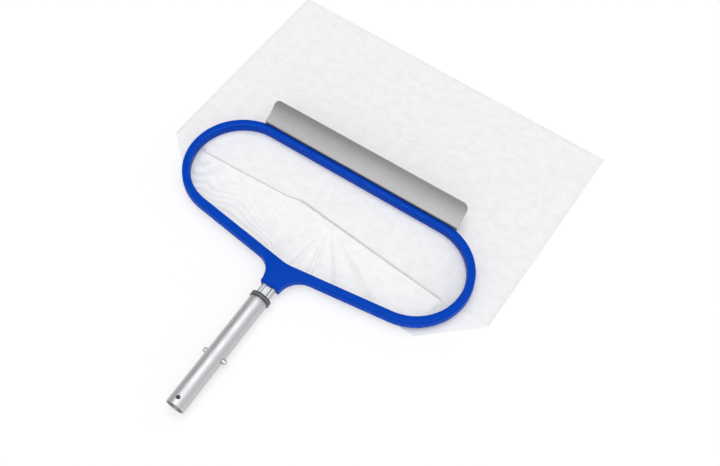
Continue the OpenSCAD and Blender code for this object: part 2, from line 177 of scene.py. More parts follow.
class Plan:
    """The places that the pieces share, in millimetres, worked out from the sizes on the panel."""

    def __init__(self, scene):
        for group in (scene.skimmer_frame, scene.skimmer_handle, scene.skimmer_net):
            for name, spec in group.bl_rna.properties.items():
                if spec.type == "FLOAT":
                    scale = 1 if spec.unit == "ROTATION" else 1 / MM
                    setattr(self, name, getattr(group, name) * scale)
        self.sin, self.cos = math.sin(self.arm_slant), math.cos(self.arm_slant)
        self.tube_r = self.tube_diameter / 2
        self.bore_r = self.tube_r - self.tube_wall
        self.collar_r = self.collar_diameter / 2
        self.collar_end = self.tube_length + self.collar_width
        self.neck_end = self.collar_end + self.stem_gap
        self.arms_out = self.neck_end + self.neck_length
        self.apex_y = self.arms_out + self.bar_width / self.cos
        self.centre_x = self.mouth_width / 2 - self.corner_radius
        slant = (self.centre_x + self.corner_radius * self.sin) / self.cos
        self.arm_length = slant - self.bend_radius * math.tan(self.arm_slant)
        self.centre_y = self.apex_y + self.corner_radius * self.cos + slant * self.sin
        self.bend_y = self.apex_y + self.bend_radius / self.cos
        self.front_y = self.centre_y + self.corner_radius
        self.bar_front = self.front_y + self.bar_width
        self.top = self.bar_height / 2
        self.low = -self.top
        self.ground = -self.collar_r
        # "in", "out" and "u" count outwards from the mouth's inner edge
        self.channel_in, self.channel_out, self.channel_top = 3.2, 9.8, 4.0
        self.bead_u, self.bead_z, self.bead_r = 5.95, 1.2, 1.9
        self.hem_u, self.hem_low = 3.65, self.low - 0.7
        self.back_z, self.front_z = self.ground + 0.4, self.ground + 1.5
        self.fold_r = 0.55
        self.fold_y = self.front_y - self.fold_back
        self.tail_length = 98
        self.stem_in_neck, self.stem_in_plug, self.plug_depth = 28, 40, 45
        self.stem_screw_places = (self.neck_end + 8, self.neck_end + 21)
        self.plug_screw_place = self.tube_length - self.plug_depth / 2
        self.socket_gap, self.screw_hole_r = 0.1, 1.55
        self.rivet_z, self.rivet_hole_r = 1.5, 1.7
        self.leg_y = self.bar_front + 0.05
        self.flange_in, self.spring_strip = self.bore_r - 2.15, 0.8
        self.landing_x = self.flange_in - 0.1 - self.spring_strip / 2
        self.landing_near, self.landing_far = self.button_place + 6, self.button_place - 7
        self.spring_bend_y, self.spring_bend_r = self.button_place + self.spring_reach, 3.4


# ---------------------------------------------------------------------------------------------
# Surfaces as arrays


def smooth_step(t):
    """3t² - 2t³ of t held between 0 and 1."""
    t = np.clip(t, 0, 1)
    return t * t * (3 - 2 * t)


def bell(x, middle, width):
    """A bump of height 1 round the middle: e to the minus square of the distance over the width."""
    return np.exp(-(((x - middle) / width) ** 2))


def circle_arc(centre, radius, start, stop, count):
    """Points round a circle, or an ellipse where two radii are given: centre + radius (cos a, sin a),
    with a even from start to stop, in degrees."""
    a = np.radians(np.linspace(start, stop, count))
    return np.column_stack([np.cos(a), np.sin(a)]) * radius + centre


def point_round(centre, radius, bearing):
    """One point of a circle, at a bearing in degrees."""
    return circle_arc(centre, radius, bearing, bearing, 1)[0]


def grid_faces(rows, columns, wrap_rows=False, wrap_columns=False):
    """Four-cornered faces of a grid of points, closed round on itself where wrapped."""
    i = np.arange(rows if wrap_rows else rows - 1)[:, None]
    j = np.arange(columns if wrap_columns else columns - 1)[None, :]
    below, right = (i + 1) % rows, (j + 1) % columns
    corners = [i * columns + j, below * columns + j, below * columns + right, i * columns + right]
    return np.stack([np.broadcast_to(c, (len(i), j.size)) for c in corners], -1).reshape(-1, 4)


def ladder_faces(ring, flip):
    """Closes a thin closed outline from side to side: point k is joined to the point across from it."""
    half = len(ring) // 2
    near, across = ring[:half], ring[::-1][:half]
    faces = np.stack([near[:-1], near[1:], across[1:], across[:-1]], -1)
    return faces if flip else faces[:, ::-1]


def ribbon_outline(line, thickness):
    """A closed outline round a line: the line moved half the thickness to its right, then back on
    its left."""
    line = np.asarray(line, float)
    along = np.gradient(line, axis=-2)
    along /= np.maximum(np.linalg.norm(along, axis=-1, keepdims=True), 1e-9)
    right = np.stack([along[..., 1], -along[..., 0]], -1) * thickness / 2
    return np.concatenate([line + right, (line - right)[..., ::-1, :]], -2)


def carry(section, base, out):
    """A section of (outward, height) carried along a level path: base + outward * out, height as z."""
    section = np.broadcast_to(section, (len(base), *np.shape(section)[-2:]))
    flat = base[:, None, :] + section[..., :1] * out[:, None, :]
    return np.concatenate([flat, section[..., 1:]], -1)


def turn_points(profile, axis, centre, segments):
    """A profile of (along, radius) turned round an axis: radius (cos a, sin a) across it, ring by ring."""
    a = np.linspace(0, 2 * np.pi, segments, endpoint=False)[:, None]
    profile = np.asarray(profile, float)
    ring = np.empty((segments, len(profile), 3))
    ring[..., axis] = profile[:, 0]
    ring[..., (axis + 1) % 3] = profile[:, 1] * np.cos(a)
    ring[..., (axis + 2) % 3] = profile[:, 1] * np.sin(a)
    return ring + np.asarray(centre, float)


class Surface:
    """Points and faces of one piece, gathered patch by patch."""

    def __init__(self):
        self.points, self.faces, self.values, self.count = [], [], {}, 0

    def add(self, points, faces, **values):
        """Adds points of any grid shape, faces that count from 0, and values at the points."""
        points = np.asarray(points, float).reshape(-1, 3)
        self.points.append(points)
        self.faces += [tuple(int(k) + self.count for k in face) for face in faces]
        for name in set(values) | set(self.values):
            value = np.asarray(values.get(name, 0.0), float)
            value = value.reshape(-1) if value.ndim else np.full(len(points), float(value))
            before = [np.zeros(self.count)] if self.count else []
            self.values.setdefault(name, before).append(value)
        self.count += len(points)
        return self

    def grid(self, points, wrap_rows=False, wrap_columns=False, **values):
        """Adds a grid of points with its faces."""
        rows, columns = points.shape[:2]
        return self.add(points, grid_faces(rows, columns, wrap_rows, wrap_columns), **values)

    def ribbon(self, points, **values):
        """Adds a run of closed outlines, row by row, with both ends closed from side to side."""
        rows, columns = points.shape[:2]
        ring = np.arange(columns)
        ends = [*ladder_faces(ring, True), *ladder_faces(ring + (rows - 1) * columns, False)]
        return self.add(points, [*grid_faces(rows, columns, wrap_columns=True), *ends], **values)

    def rod(self, axis, start, stop, radius, centre, segments):
        """Adds a plain round rod along an axis."""
        profile = [(start, 0), (start, radius), (stop, radius), (stop, 0)]
        return self.solid_turn(profile, axis, centre, segments)

    def solid_turn(self, profile, axis, centre=(0, 0, 0), segments=48):
        """Adds a closed turned solid. The profile starts and ends on the axis, at two single points."""
        profile = np.asarray(profile, float)
        rings = turn_points(profile[1:-1], axis, centre, segments)
        poles = turn_points(profile[[0, -1]], axis, centre, segments)[0]
        points = np.vstack([rings.reshape(-1, 3), poles])
        columns = len(profile) - 2
        k = np.arange(segments)
        after = (k + 1) % segments
        low, high = len(points) - 2, len(points) - 1
        faces = list(grid_faces(segments, columns, wrap_rows=True))
        faces += list(np.stack([np.full(segments, low), after * columns, k * columns], -1))
        last = columns - 1
        faces += list(np.stack([np.full(segments, high), k * columns + last, after * columns + last], -1))
        return self.add(points, faces)

    def prism(self, outline, axis, start, stop, bevel=0.0):
        """Adds a closed prism of an anticlockwise outline across an axis, its end edges bevelled."""
        outline = np.asarray(outline, float)
        middle = outline.mean(0)
        size = np.abs(outline - middle).max()
        inset = middle + (outline - middle) * (1 - bevel / size)
        stations = [(start, inset), (start + bevel, outline), (stop - bevel, outline), (stop, inset)]
        if not bevel:
            stations = [(start, outline), (stop, outline)]
        points = np.empty((len(stations), len(outline), 3))
        for row, (along, ring) in enumerate(stations):
            points[row, :, axis] = along
            points[row, :, (axis + 1) % 3] = ring[:, 0]
            points[row, :, (axis + 2) % 3] = ring[:, 1]
        faces = [face[::-1] for face in grid_faces(len(stations), len(outline), wrap_columns=True)]
        n, end = len(outline), (len(stations) - 1) * len(outline)
        faces += [tuple(range(n))[::-1], tuple(range(end, end + n))]
        return self.add(points, faces)


def make_piece(name, surface, material, body="net", sharp=35, flat_uv=None):
    """Puts a surface into a mesh object at the origin, in metres, smooth but for its sharp edges."""
    mesh = bpy.data.meshes.new(name)
    mesh.from_pydata((np.vstack(surface.points) * MM).tolist(), [], surface.faces)
    for label, parts in surface.values.items():
        layer = mesh.attributes.new(label, "FLOAT", "POINT")
        layer.data.foreach_set("value", np.concatenate(parts).astype(np.float32))
    if flat_uv is not None:
        corner = np.empty(len(mesh.loops), np.int32)
        mesh.loops.foreach_get("vertex_index", corner)
        cloth = mesh.uv_layers.new(name="cloth")
        cloth.data.foreach_set("uv", (flat_uv[corner] * MM).astype(np.float32).ravel())
    mesh.validate()
    mesh.shade_smooth()
    mesh.set_sharp_from_angle(angle=math.radians(sharp))
    mesh.materials.append(material)
    piece = bpy.data.objects.new(name + VISIBLE, mesh)
    bpy.context.scene.collection.objects.link(piece)
    if body:
        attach(piece, body)
    return piece


def cut_out(piece, cutter, sharp=35):
    """Takes a closed surface away from a piece, and leaves the result as its mesh."""
    tool = make_piece("cutter", cutter, piece.data.materials[0], body=None)
    change = piece.modifiers.new("cut", "BOOLEAN")
    change.operation, change.solver, change.object = "DIFFERENCE", "EXACT", tool
    change.use_self = True
    bpy.context.view_layer.update()
    seen = piece.evaluated_get(bpy.context.evaluated_depsgraph_get())
    mesh = bpy.data.meshes.new_from_object(seen)
    if not mesh.polygons:
        raise RuntimeError(f"Nothing is left of {piece.name} after the cut")
    piece.modifiers.clear()
    old, piece.data = piece.data, mesh
    bpy.data.meshes.remove(old)
    bpy.data.objects.remove(tool)
    mesh.shade_smooth()
    mesh.set_sharp_from_angle(angle=math.radians(sharp))
    return piece


def stand_for(piece, slot, *nodes):
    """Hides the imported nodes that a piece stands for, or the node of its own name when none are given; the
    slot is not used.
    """
    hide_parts(*(nodes or (piece.name.removesuffix(VISIBLE),)))
    return piece


# ---------------------------------------------------------------------------------------------
# Materials


def add(tree, kind, inputs=None, **settings):
    """Adds a node, with its properties, and its sockets set to values or linked to outputs."""
    node = tree.nodes.new(kind)
    for name, value in settings.items():
        setattr(node, name, value)
    for name, value in (inputs or {}).items():
        if isinstance(value, bpy.types.NodeSocket):
            tree.links.new(value, node.inputs[name])
        else:
            node.inputs[name].default_value = value
    return node


def start_material(name):
    """An empty node material, and its tree."""
    material = bpy.data.materials.new(name)
    material.use_nodes = True
    material.node_tree.nodes.clear()
    return material, material.node_tree


def end_material(tree, shader_inputs):
    """Joins a Principled shader with these inputs to the output."""
    shader = add(tree, "ShaderNodeBsdfPrincipled", shader_inputs)
    add(tree, "ShaderNodeOutputMaterial", {"Surface": shader.outputs[0]})


def noise(tree, place, size, detail=3.0, stretch=(1, 1, 1)):
    """Cloud pattern whose patches are about size millimetres, stretched along the axes."""
    scaled = add(tree, "ShaderNodeMapping", {"Vector": place, "Scale": [1 / s for s in stretch]})
    scale = 1 / (size * MM)
    return add(
        tree, "ShaderNodeTexNoise", {"Vector": scaled.outputs[0], "Scale": scale, "Detail": detail}
    ).outputs["Fac"]


def object_place(tree):
    """The place on the object, in its own coordinates."""
    return add(tree, "ShaderNodeTexCoord").outputs["Object"]


def kept_value(tree, name):
    """A value that is kept at the points of a piece."""
    return add(tree, "ShaderNodeAttribute", attribute_name=name).outputs["Fac"]


def bumped(tree, height, strength, depth):
    """A normal bent by a height pattern of some depth, in millimetres."""
    inputs = {"Height": height, "Strength": strength, "Distance": depth * MM}
    return add(tree, "ShaderNodeBump", inputs).outputs[0]


def between(tree, fac, low, high, start=0.0, stop=1.0):
    """Turns a pattern's range start..stop into low..high."""
    return add(
        tree,
        "ShaderNodeMapRange",
        {"Value": fac, "From Min": start, "From Max": stop, "To Min": low, "To Max": high},
    ).outputs[0]


def tinted(tree, fac, first, second):
    """Mixes two colours by a pattern."""
    node = add(tree, "ShaderNodeMix", {"Factor": fac}, data_type="RGBA")
    for socket, value in ((node.inputs[6], first), (node.inputs[7], second)):
        if isinstance(value, bpy.types.NodeSocket):
            tree.links.new(value, socket)
        else:
            socket.default_value = (*value[:3], 1)
    return node.outputs[2]


def worked(tree, operation, first, second):
    """A sum, product or other operation of two numbers."""
    return add(tree, "ShaderNodeMath", {0: first, 1: second}, operation=operation).outputs[0]


def shade(colour_value, factor):
    """A colour made lighter or darker by a factor."""
    return tuple(min(1.0, c * factor) for c in colour_value[:3])


def varied(tree, fac, colour_value, low, high):
    """A colour that a pattern takes from one factor of its lightness to another."""
    return tinted(tree, fac, shade(colour_value, low), shade(colour_value, high))


def moulded_polypropylene(colours):
    """Injection-moulded polypropylene: a deep even blue with a satin gloss, faint flow marks and a
    fine die grain, paler scuffs where edges have been rubbed, which also paint highlight lines along
    the lip and shoulders, and painted shade on the front bar's outer slope beside the scraper."""
    material, tree = start_material("blue_moulded_polypropylene")
    place = object_place(tree)
    flow = noise(tree, place, 60, 2)
    grain = noise(tree, place, 1.1, 2)  # die grain of 0.2 mm, drawn coarser so that it shows
    scrape = noise(tree, place, 2.2, 4, (6, 1, 1))
    base = varied(tree, flow, colours.frame, 0.93, 1.05)
    # painted shade on the front bar's outer slope beside the scraper
    base = tinted(tree, kept_value(tree, "grime"), base, shade(colours.frame, 0.36))
    # paler scuff patches along the edges, which also stand in as painted highlight lines
    patches = between(tree, scrape, 0, 1, 0.40, 0.62)
    scuff_and_highlight_mix = worked(tree, "MULTIPLY", worked(tree, "MULTIPLY", kept_value(tree, "wear"), 0.55), patches)
    end_material(
        tree,
        {
            "Base Color": tinted(tree, scuff_and_highlight_mix, base, colours.scuff_and_highlight_colour),
            "Roughness": between(tree, grain, 0.26, 0.36, 0.3, 0.7),
            "IOR": 1.49,
            "Specular IOR Level": 0.03,
            "Normal": bumped(tree, grain, 0.10, 0.2),
        },
    )
    return material


def soft_vinyl(colours):
    """Extruded soft vinyl: matt mid grey, with faint lines along the extrusion and small smudges,
    and painted shade that darkens it up its curl towards the outer edge and a little towards its left end."""
    material, tree = start_material("grey_soft_vinyl")
    place = object_place(tree)
    lines = noise(tree, place, 1.4, 2, (60, 1, 1))
    smudge = noise(tree, place, 26, 4)
    grain = noise(tree, place, 0.9, 2)
    base = varied(tree, smudge, colours.blade, 0.93, 1.06)
    base = tinted(tree, between(tree, lines, 0, 0.10, 0.35, 0.65), base, (1, 1, 1))
    # painted shade towards the curled outer edge and the left end
    grime = worked(tree, "MULTIPLY", kept_value(tree, "grime"), 0.66)
    base = tinted(tree, grime, base, shade(colours.blade, 0.25))
    height = worked(tree, "ADD", lines, worked(tree, "MULTIPLY", grain, 0.5))
    end_material(
        tree,
        {
            "Base Color": base,
            "Roughness": between(tree, smudge, 0.38, 0.5, 0.3, 0.7),
            "IOR": 1.52,
            "Normal": bumped(tree, height, 0.12, 0.2),
        },
    )
    return material


def drawn_aluminium(colours):
    """Drawn aluminium with a satin finish: fine lines along the tube that spread its highlight."""
    material, tree = start_material("satin_drawn_aluminium")
    place = object_place(tree)
    lines = noise(tree, place, 0.7, 3, (1, 90, 1))  # draw lines of 0.1 mm, drawn coarser
    cloud = noise(tree, place, 18, 3)
    end_material(
        tree,
        {
            "Base Color": varied(tree, lines, colours.aluminium, 0.93, 1.05),
            "Metallic": 1.0,
            "Specular Tint": (0.75, 0.75, 0.77, 1),
            "Roughness": between(tree, cloud, 0.46, 0.54, 0.3, 0.7),
            "Normal": bumped(tree, lines, 0.10, 0.15),
        },
    )
    return material


def moulded_nylon(colours):
    """Moulded nylon: dark grey, slightly waxy, with a fine grain."""
    material, tree = start_material("dark_moulded_nylon")
    place = object_place(tree)
    grain = noise(tree, place, 0.8, 3)
    base = varied(tree, grain, colours.plug, 0.85, 1.15)
    normal = bumped(tree, grain, 0.15, 0.2)
    end_material(tree, {"Base Color": base, "Roughness": 0.45, "IOR": 1.53, "Normal": normal})
    return material


def ring_rubber(colours):
    """Moulded rubber: matt mid grey with a little dust."""
    material, tree = start_material("grey_ring_rubber")
    place = object_place(tree)
    dust = noise(tree, place, 1.2, 4)
    base = varied(tree, dust, colours.ring, 0.8, 1.15)
    end_material(tree, {"Base Color": base, "Roughness": 0.6, "IOR": 1.52})
    return material


def plated_nickel(colours):
    """Nickel plate over a turned button: bright, with small rub marks."""
    material, tree = start_material("satin_nickel_plate")
    place = object_place(tree)
    rub = noise(tree, place, 1.0, 4)
    end_material(
        tree,
        {
            "Base Color": varied(tree, rub, colours.button, 0.9, 1.06),
            "Metallic": 1.0,
            "Roughness": between(tree, rub, 0.26, 0.40, 0.3, 0.7),
            "Normal": bumped(tree, rub, 0.08, 0.1),
        },
    )
    return material


def stainless_steel(colours):
    """Rolled stainless steel: cool grey with fine rolling lines."""
    material, tree = start_material("rolled_stainless_steel")
    place = object_place(tree)
    lines = noise(tree, place, 0.5, 2, (1, 30, 1))
    base = varied(tree, lines, colours.steel, 0.88, 1.08)
    rough = between(tree, lines, 0.25, 0.4, 0.3, 0.7)
    end_material(tree, {"Base Color": base, "Metallic": 1.0, "Roughness": rough})
    return material


def threads(tree, spacing):
    """Height of a plain weave: two crossed rows of rounded threads, from the cloth's own UV map."""
    cloth = add(tree, "ShaderNodeUVMap", uv_map="cloth").outputs[0]
    split = add(tree, "ShaderNodeSeparateXYZ", {0: cloth})
    rows = []
    for axis in (0, 1):
        wave = worked(tree, "MULTIPLY", split.outputs[axis], 2 * math.pi / (spacing * MM))
        wave = worked(tree, "SINE", wave, 0.0)
        rows.append(between(tree, wave, 0, 1, -1, 1))
    return cloth, worked(tree, "MAXIMUM", rows[0], rows[1])


def polyester_mesh(colours, plan):
    """Woven polyester mesh: fine white threads with open holes. Two layers beat against each other
    in soft rings, small wrinkles mottle it, and painted shade darkens it along its crease, folds and
    sewn edges, where it is doubled, beside the arms and towards the flap's right end."""
    material, tree = start_material("white_polyester_mesh")
    cloth, weave = threads(tree, plan.thread_spacing)
    mottle = noise(tree, cloth, 13, 6, (1.5, 1.0, 1.0))
    fine = noise(tree, cloth, 3.0, 3, (1.0, 2.2, 1.0))
    ring = between(tree, worked(tree, "SINE", kept_value(tree, "beat"), 0.0), 0, 1, -0.2, 1.0)
    ring = worked(tree, "MULTIPLY", ring, kept_value(tree, "beat_share"))
    level = worked(tree, "MULTIPLY", ring, 0.2)
    for darkening in (
        between(tree, mottle, 0.06, 0.0, 0.38, 0.58),
        between(tree, fine, 0.05, 0.0, 0.36, 0.6),
        between(tree, weave, 0.02, 0.0),
        kept_value(tree, "shaded"),
    ):
        level = worked(tree, "ADD", level, darkening)
    shadow_grey = (0.34, 0.34, 0.35)
    height = worked(tree, "ADD", weave, worked(tree, "MULTIPLY", fine, 1.6))
    end_material(
        tree,
        {
            "Base Color": tinted(tree, level, colours.mesh, shadow_grey),
            "Roughness": 0.7,
            "IOR": 1.5,
            "Specular IOR Level": 0.2,
            "Alpha": 0.9,
            "Normal": bumped(tree, height, 0.25, 0.3),
        },
    )
    return material


def hem_cloth(colours, plan):
    """Woven polyester tape, denser than the mesh: white with a close weave."""
    material, tree = start_material("white_hem_tape")
    place = object_place(tree)
    rib = noise(tree, place, plan.thread_spacing, 2)
    base = varied(tree, rib, colours.hem, 0.9, 1.04)
    normal = bumped(tree, rib, 0.3, 0.3)
    end_material(tree, {"Base Color": base, "Roughness": 0.75, "IOR": 1.5, "Normal": normal})
    return material


def braided_cord(colours):
    """Braided polyester cord: off-white, with crossing strands."""
    material, tree = start_material("braided_cord")
    place = object_place(tree)
    strands = noise(tree, place, 1.0, 1)
    base = varied(tree, strands, colours.cord, 0.8, 1.05)
    normal = bumped(tree, strands, 0.5, 0.4)
    end_material(tree, {"Base Color": base, "Roughness": 0.8, "IOR": 1.5, "Normal": normal})
    return material


# ---------------------------------------------------------------------------------------------
# The mouth's outline


def right_half(plan, step=5.0):
    """Right half of the mouth's inner edge, from the bend's middle to the front bar's middle, with
    the outward directions: an arc about the bend, the arm, an arc about the end, the front bar."""
    bend = np.linspace(0, plan.arm_slant, 5)
    bend_out = np.column_stack([np.sin(bend), -np.cos(bend)])
    bend_line = [0, plan.bend_y] + plan.bend_radius * bend_out
    arm = np.linspace(0, plan.arm_length, int(plan.arm_length / step) + 1)[1:-1, None]
    arm_line = bend_line[-1] + arm * [plan.cos, plan.sin]
    end = np.linspace(plan.arm_slant - np.pi / 2, np.pi / 2, 64)
    end_out = np.column_stack([np.cos(end), np.sin(end)])
    end_line = [plan.centre_x, plan.centre_y] + plan.corner_radius * end_out
    front = np.linspace(plan.centre_x, 0, int(plan.centre_x / step) + 1)[1:]
    front_line = np.column_stack([front, np.full(len(front), plan.front_y)])
    line = np.vstack([bend_line, arm_line, end_line, front_line])
    out = np.vstack(
        [bend_out, np.tile(bend_out[-1], (len(arm), 1)), end_out, np.tile([0.0, 1.0], (len(front), 1))]
    )
    return line, out


def mirrored(right, closed=True):
    """The right half of a path followed by its mirror image, back to the start."""
    left = right[::-1] * ([-1, 1] if right.shape[-1] == 2 else 1)
    return np.concatenate([right, left[1:-1] if closed else left[1:]])


def whole_mouth(plan, step=5.0):
    """The mouth's whole inner edge and outward directions, anticlockwise seen from above."""
    line, out = right_half(plan, step)
    return mirrored(line), mirrored(out)


def outward(plan, x, y):
    """Distance of a point outwards from the mouth's inner edge: to the front bar or an arm as a
    straight line, and round the ends as the distance from their centres."""
    across, along = np.abs(x) - plan.centre_x, y - plan.centre_y
    arm = across * plan.sin - along * plan.cos
    round_end = (across > 0) & (across * plan.cos + along * plan.sin > 0)
    return np.where(round_end, np.hypot(across, along), np.maximum(along, arm)) - plan.corner_radius


def frame_rails(plan):
    """The frame's inner and outer edge seen from above, for the right half: base points, outward
    directions, outer points, their directions, and the neck's share of the section."""
    tip = 1.5
    fillet_x = plan.neck_width / 2 + plan.neck_fillet
    fillet_y = plan.arms_out + fillet_x * math.tan(plan.arm_slant) - plan.neck_fillet / plan.cos
    slant = math.degrees(plan.arm_slant)
    face = np.column_stack([np.linspace(0, plan.neck_width / 2 - tip, 5)[:-1], np.full(4, plan.neck_end)])
    nose = circle_arc((plan.neck_width / 2 - tip, plan.neck_end + tip), tip, -90, 0, 7)
    nose_out = circle_arc((0, 0), 1, -90, 0, 7)
    fillet = circle_arc((fillet_x, fillet_y), plan.neck_fillet, 180, 90 + slant, 26)
    fillet_out = -circle_arc((0, 0), 1, 180, 90 + slant, 26)
    outer = np.vstack([face, nose[:-1], fillet])
    outer_out = np.vstack([np.tile([0.0, -1.0], (4, 1)), nose_out[:-1], fillet_out])
    share = np.concatenate([np.ones(10), smooth_step(np.linspace(1, 0, 26) * 1.7)])

    line, out = right_half(plan, 1.0)
    walked = np.concatenate([[0], np.cumsum(np.linalg.norm(np.diff(line, axis=0), axis=1))])
    foot = outer[-1] - plan.bar_width * outer_out[-1]
    foot_at = plan.bend_radius * plan.arm_slant + np.linalg.norm(
        foot - [plan.bend_radius * plan.sin, plan.bend_y - plan.bend_radius * plan.cos]
    )
    at = np.linspace(0, foot_at, len(outer))
    inner = np.column_stack([np.interp(at, walked, line[:, k]) for k in (0, 1)])
    inner_out = np.column_stack([np.interp(at, walked, out[:, k]) for k in (0, 1)])

    rest_line, rest_out = right_half(plan, 4.0)
    keep = np.arange(len(rest_line)) >= np.argmax(rest_line[:, 0] > foot[0] + 2)
    rest_line, rest_out = rest_line[keep], rest_out[keep]
    return (
        np.vstack([inner, rest_line]),
        np.vstack([inner_out, rest_out]),
        np.vstack([outer, rest_line + plan.bar_width * rest_out]),
        np.vstack([outer_out, rest_out]),
        np.concatenate([share, np.zeros(len(rest_line))]),
    )


# ---------------------------------------------------------------------------------------------
# Frame


def frame_surface(plan):
    """The frame's section carried round the mouth. Its inner side is measured outwards from the
    inner edge, its outer side inwards from the outer edge, so it widens into the neck."""
    base, out, edge, edge_out, share = frame_rails(plan)
    base, edge = mirrored(base), mirrored(edge)
    out, edge_out = mirrored(out), mirrored(edge_out)
    share = np.concatenate([share, share[::-1][1:-1]])[:, None]
    low, top = plan.low, plan.top
    under = np.array(
        [
            [0.5, low], [plan.channel_in, low], [plan.channel_in, plan.channel_top],
            [(plan.channel_in + plan.channel_out) / 2, plan.channel_top + 0.2],
            [plan.channel_out, plan.channel_top], [plan.channel_out, low],
        ]
    )
    lip = np.array([[0.5, 0], [0.15, 0.15], [0, 0.5], [0, 2.5], [0.12, 2.85], [0.42, 3.1], [0.6, 3.5]])
    lip = lip + [0, low]
    shoulder = circle_arc((5.2, top - 3.6), (-4.6, 3.6), 0, 90, 12)
    bar_side = np.vstack([lip, shoulder])
    neck_step = np.array(
        [[0, 4.0], [0, 5.2], [0.03, 5.7], [0.1, 6.1], [0.27, 6.38], [0.5, 6.48], [0.78, 6.5],
         [0.88, 6.75], [0.97, 7.1], [1.08, 7.33], [1.22, 7.45], [1.38, 7.5]]
    )
    plain_lip = lip.copy()
    plain_lip[3:, 0] = 0
    neck_side = np.vstack([plain_lip, neck_step + [0, top - neck_step[-1, 1]]])
    side = bar_side + (neck_side - bar_side) * share[..., None]
    inner_shoulder = circle_arc((3.6, top - 3.0), (3.6, 3.0), 90, 180, 10)
    inner = np.vstack([[[6.0, top + 0.06]], inner_shoulder, [[0, low + 0.5], [0.15, low + 0.15]]])

    outer = carry(side * [-1, 1], edge, edge_out)
    points = np.concatenate([carry(under, base, out), outer, carry(inner, base, out)], 1)
    # scuffs that also paint highlight lines: strongest on the lip and along the inner shoulder
    lip_scuff_and_highlight = [0, 0.1, 0.1, 0.8, 1, 1, 0.3]
    shoulder_scuff_and_highlight = [0, 0, 0, 0, 0, 0, 0, 0.05, 0.1, 0.1, 0, 0]
    inner_scuff_and_highlight = [0, 0, 0.05, 0.15, 0.25, 0.25, 0.15, 0.1, 0, 0, 0, 0.1, 0.2]
    wear = np.concatenate([np.zeros(len(under)), lip_scuff_and_highlight, shoulder_scuff_and_highlight, inner_scuff_and_highlight])
    wear = np.tile(wear, (len(points), 1))
    # painted shade: the front bar's outer slope darkens beside the blade, where the blade's leg shades it
    slope = np.zeros(points.shape[1])
    first = len(under) + len(lip)
    slope[first : first + len(shoulder)] = smooth_step(np.linspace(3.0, 0.62, len(shoulder)))
    beside = smooth_step((points[..., 1] - plan.front_y) / 3)
    beside = beside * smooth_step((plan.blade_length / 2 + 6 - np.abs(points[..., 0])) / 12)
    return Surface().grid(points, wrap_rows=True, wrap_columns=True, wear=wear, grime=beside * slope)


def stem_outline(plan, grow=0.0, fine=10):
    """The stem's section, anticlockwise in (Z, X): two round lobes joined by a web, with small fillets."""
    lobe, half, web = plan.lobe_diameter / 2 + grow, plan.lobe_spacing / 2, plan.web / 2 + grow
    fillet = 0.5
    reach = math.sqrt((lobe + fillet) ** 2 - (web + fillet) ** 2)
    meet = math.degrees(math.atan2(web + fillet, reach))
    outer = circle_arc((half, 0), lobe, meet - 180, 180 - meet, 3 * fine)
    inner = circle_arc((half - reach, web + fillet), fillet, -meet, -90, 5)
    quarter = np.vstack([outer[len(outer) // 2 :], inner])
    top = np.vstack([quarter, (quarter * [-1, 1])[::-1]])
    ring = np.vstack([top, -top])
    return ring[::-1, ::-1]


def rivet_places(plan, count=5):
    """Places of the rivets along the front bar."""
    reach = min(plan.blade_length / 2 - 30, plan.centre_x - 9)
    return np.linspace(-reach, reach, count)


def build_frame(plan, materials):
    """The moulding, with the stem's socket, the screws' counterbores and the rivets' holes cut out."""
    piece = make_piece("frame_rim", frame_surface(plan), materials["frame"])
    cutter = Surface()
    socket = stem_outline(plan, plan.socket_gap, 6)
    cutter.prism(socket, 1, plan.neck_end - 2, plan.neck_end + plan.stem_in_neck + 1)
    hole, head, head_top = plan.screw_hole_r, 3.3, plan.low + 3.2
    for y in plan.stem_screw_places:
        profile = [(plan.low - 1, 0), (plan.low - 1, head), (head_top, head), (head_top, hole),
                   (-1.0, hole), (-1.0, 0)]
        cutter.solid_turn(profile, 2, (0, y, 0), 32)
    start, stop = plan.front_y + plan.channel_out - 1, plan.bar_front + 1
    for x in rivet_places(plan):
        cutter.rod(1, start, stop, plan.rivet_hole_r, (x, 0, plan.rivet_z), 20)
    return stand_for(cut_out(piece, cutter), "frame")


def blade_line(plan, count=40):
    """The blade's middle line across the bar: up the leg, a small bend, then an arc of the curl's
    radius that rises from 14 to 64 degrees. Points of (Y, Z), and their distance along the chord."""
    start, stop, bend = 14, 64, 1.3
    root = np.array([plan.leg_y + plan.blade_thickness / 2, plan.top - 1])
    cut = bend * math.tan(math.radians(90 - start) / 2)
    leg = np.column_stack([np.full(6, root[0]), np.linspace(root[1] - 10, root[1] - cut, 6)])
    corner = circle_arc((root[0] + bend, root[1] - cut), bend, 180, 90 + start, 7)[1:]
    rise = math.radians(start)
    centre = root + plan.blade_curl * np.array([-math.sin(rise), math.cos(rise)])
    first = start + math.degrees(cut / plan.blade_curl)
    curl = circle_arc(centre, plan.blade_curl, first - 90, stop - 90, count)[1:]
    line = np.vstack([leg, corner, curl])
    chord = np.radians((start + stop) / 2)
    return line, (line - root) @ [np.cos(chord), np.sin(chord)]


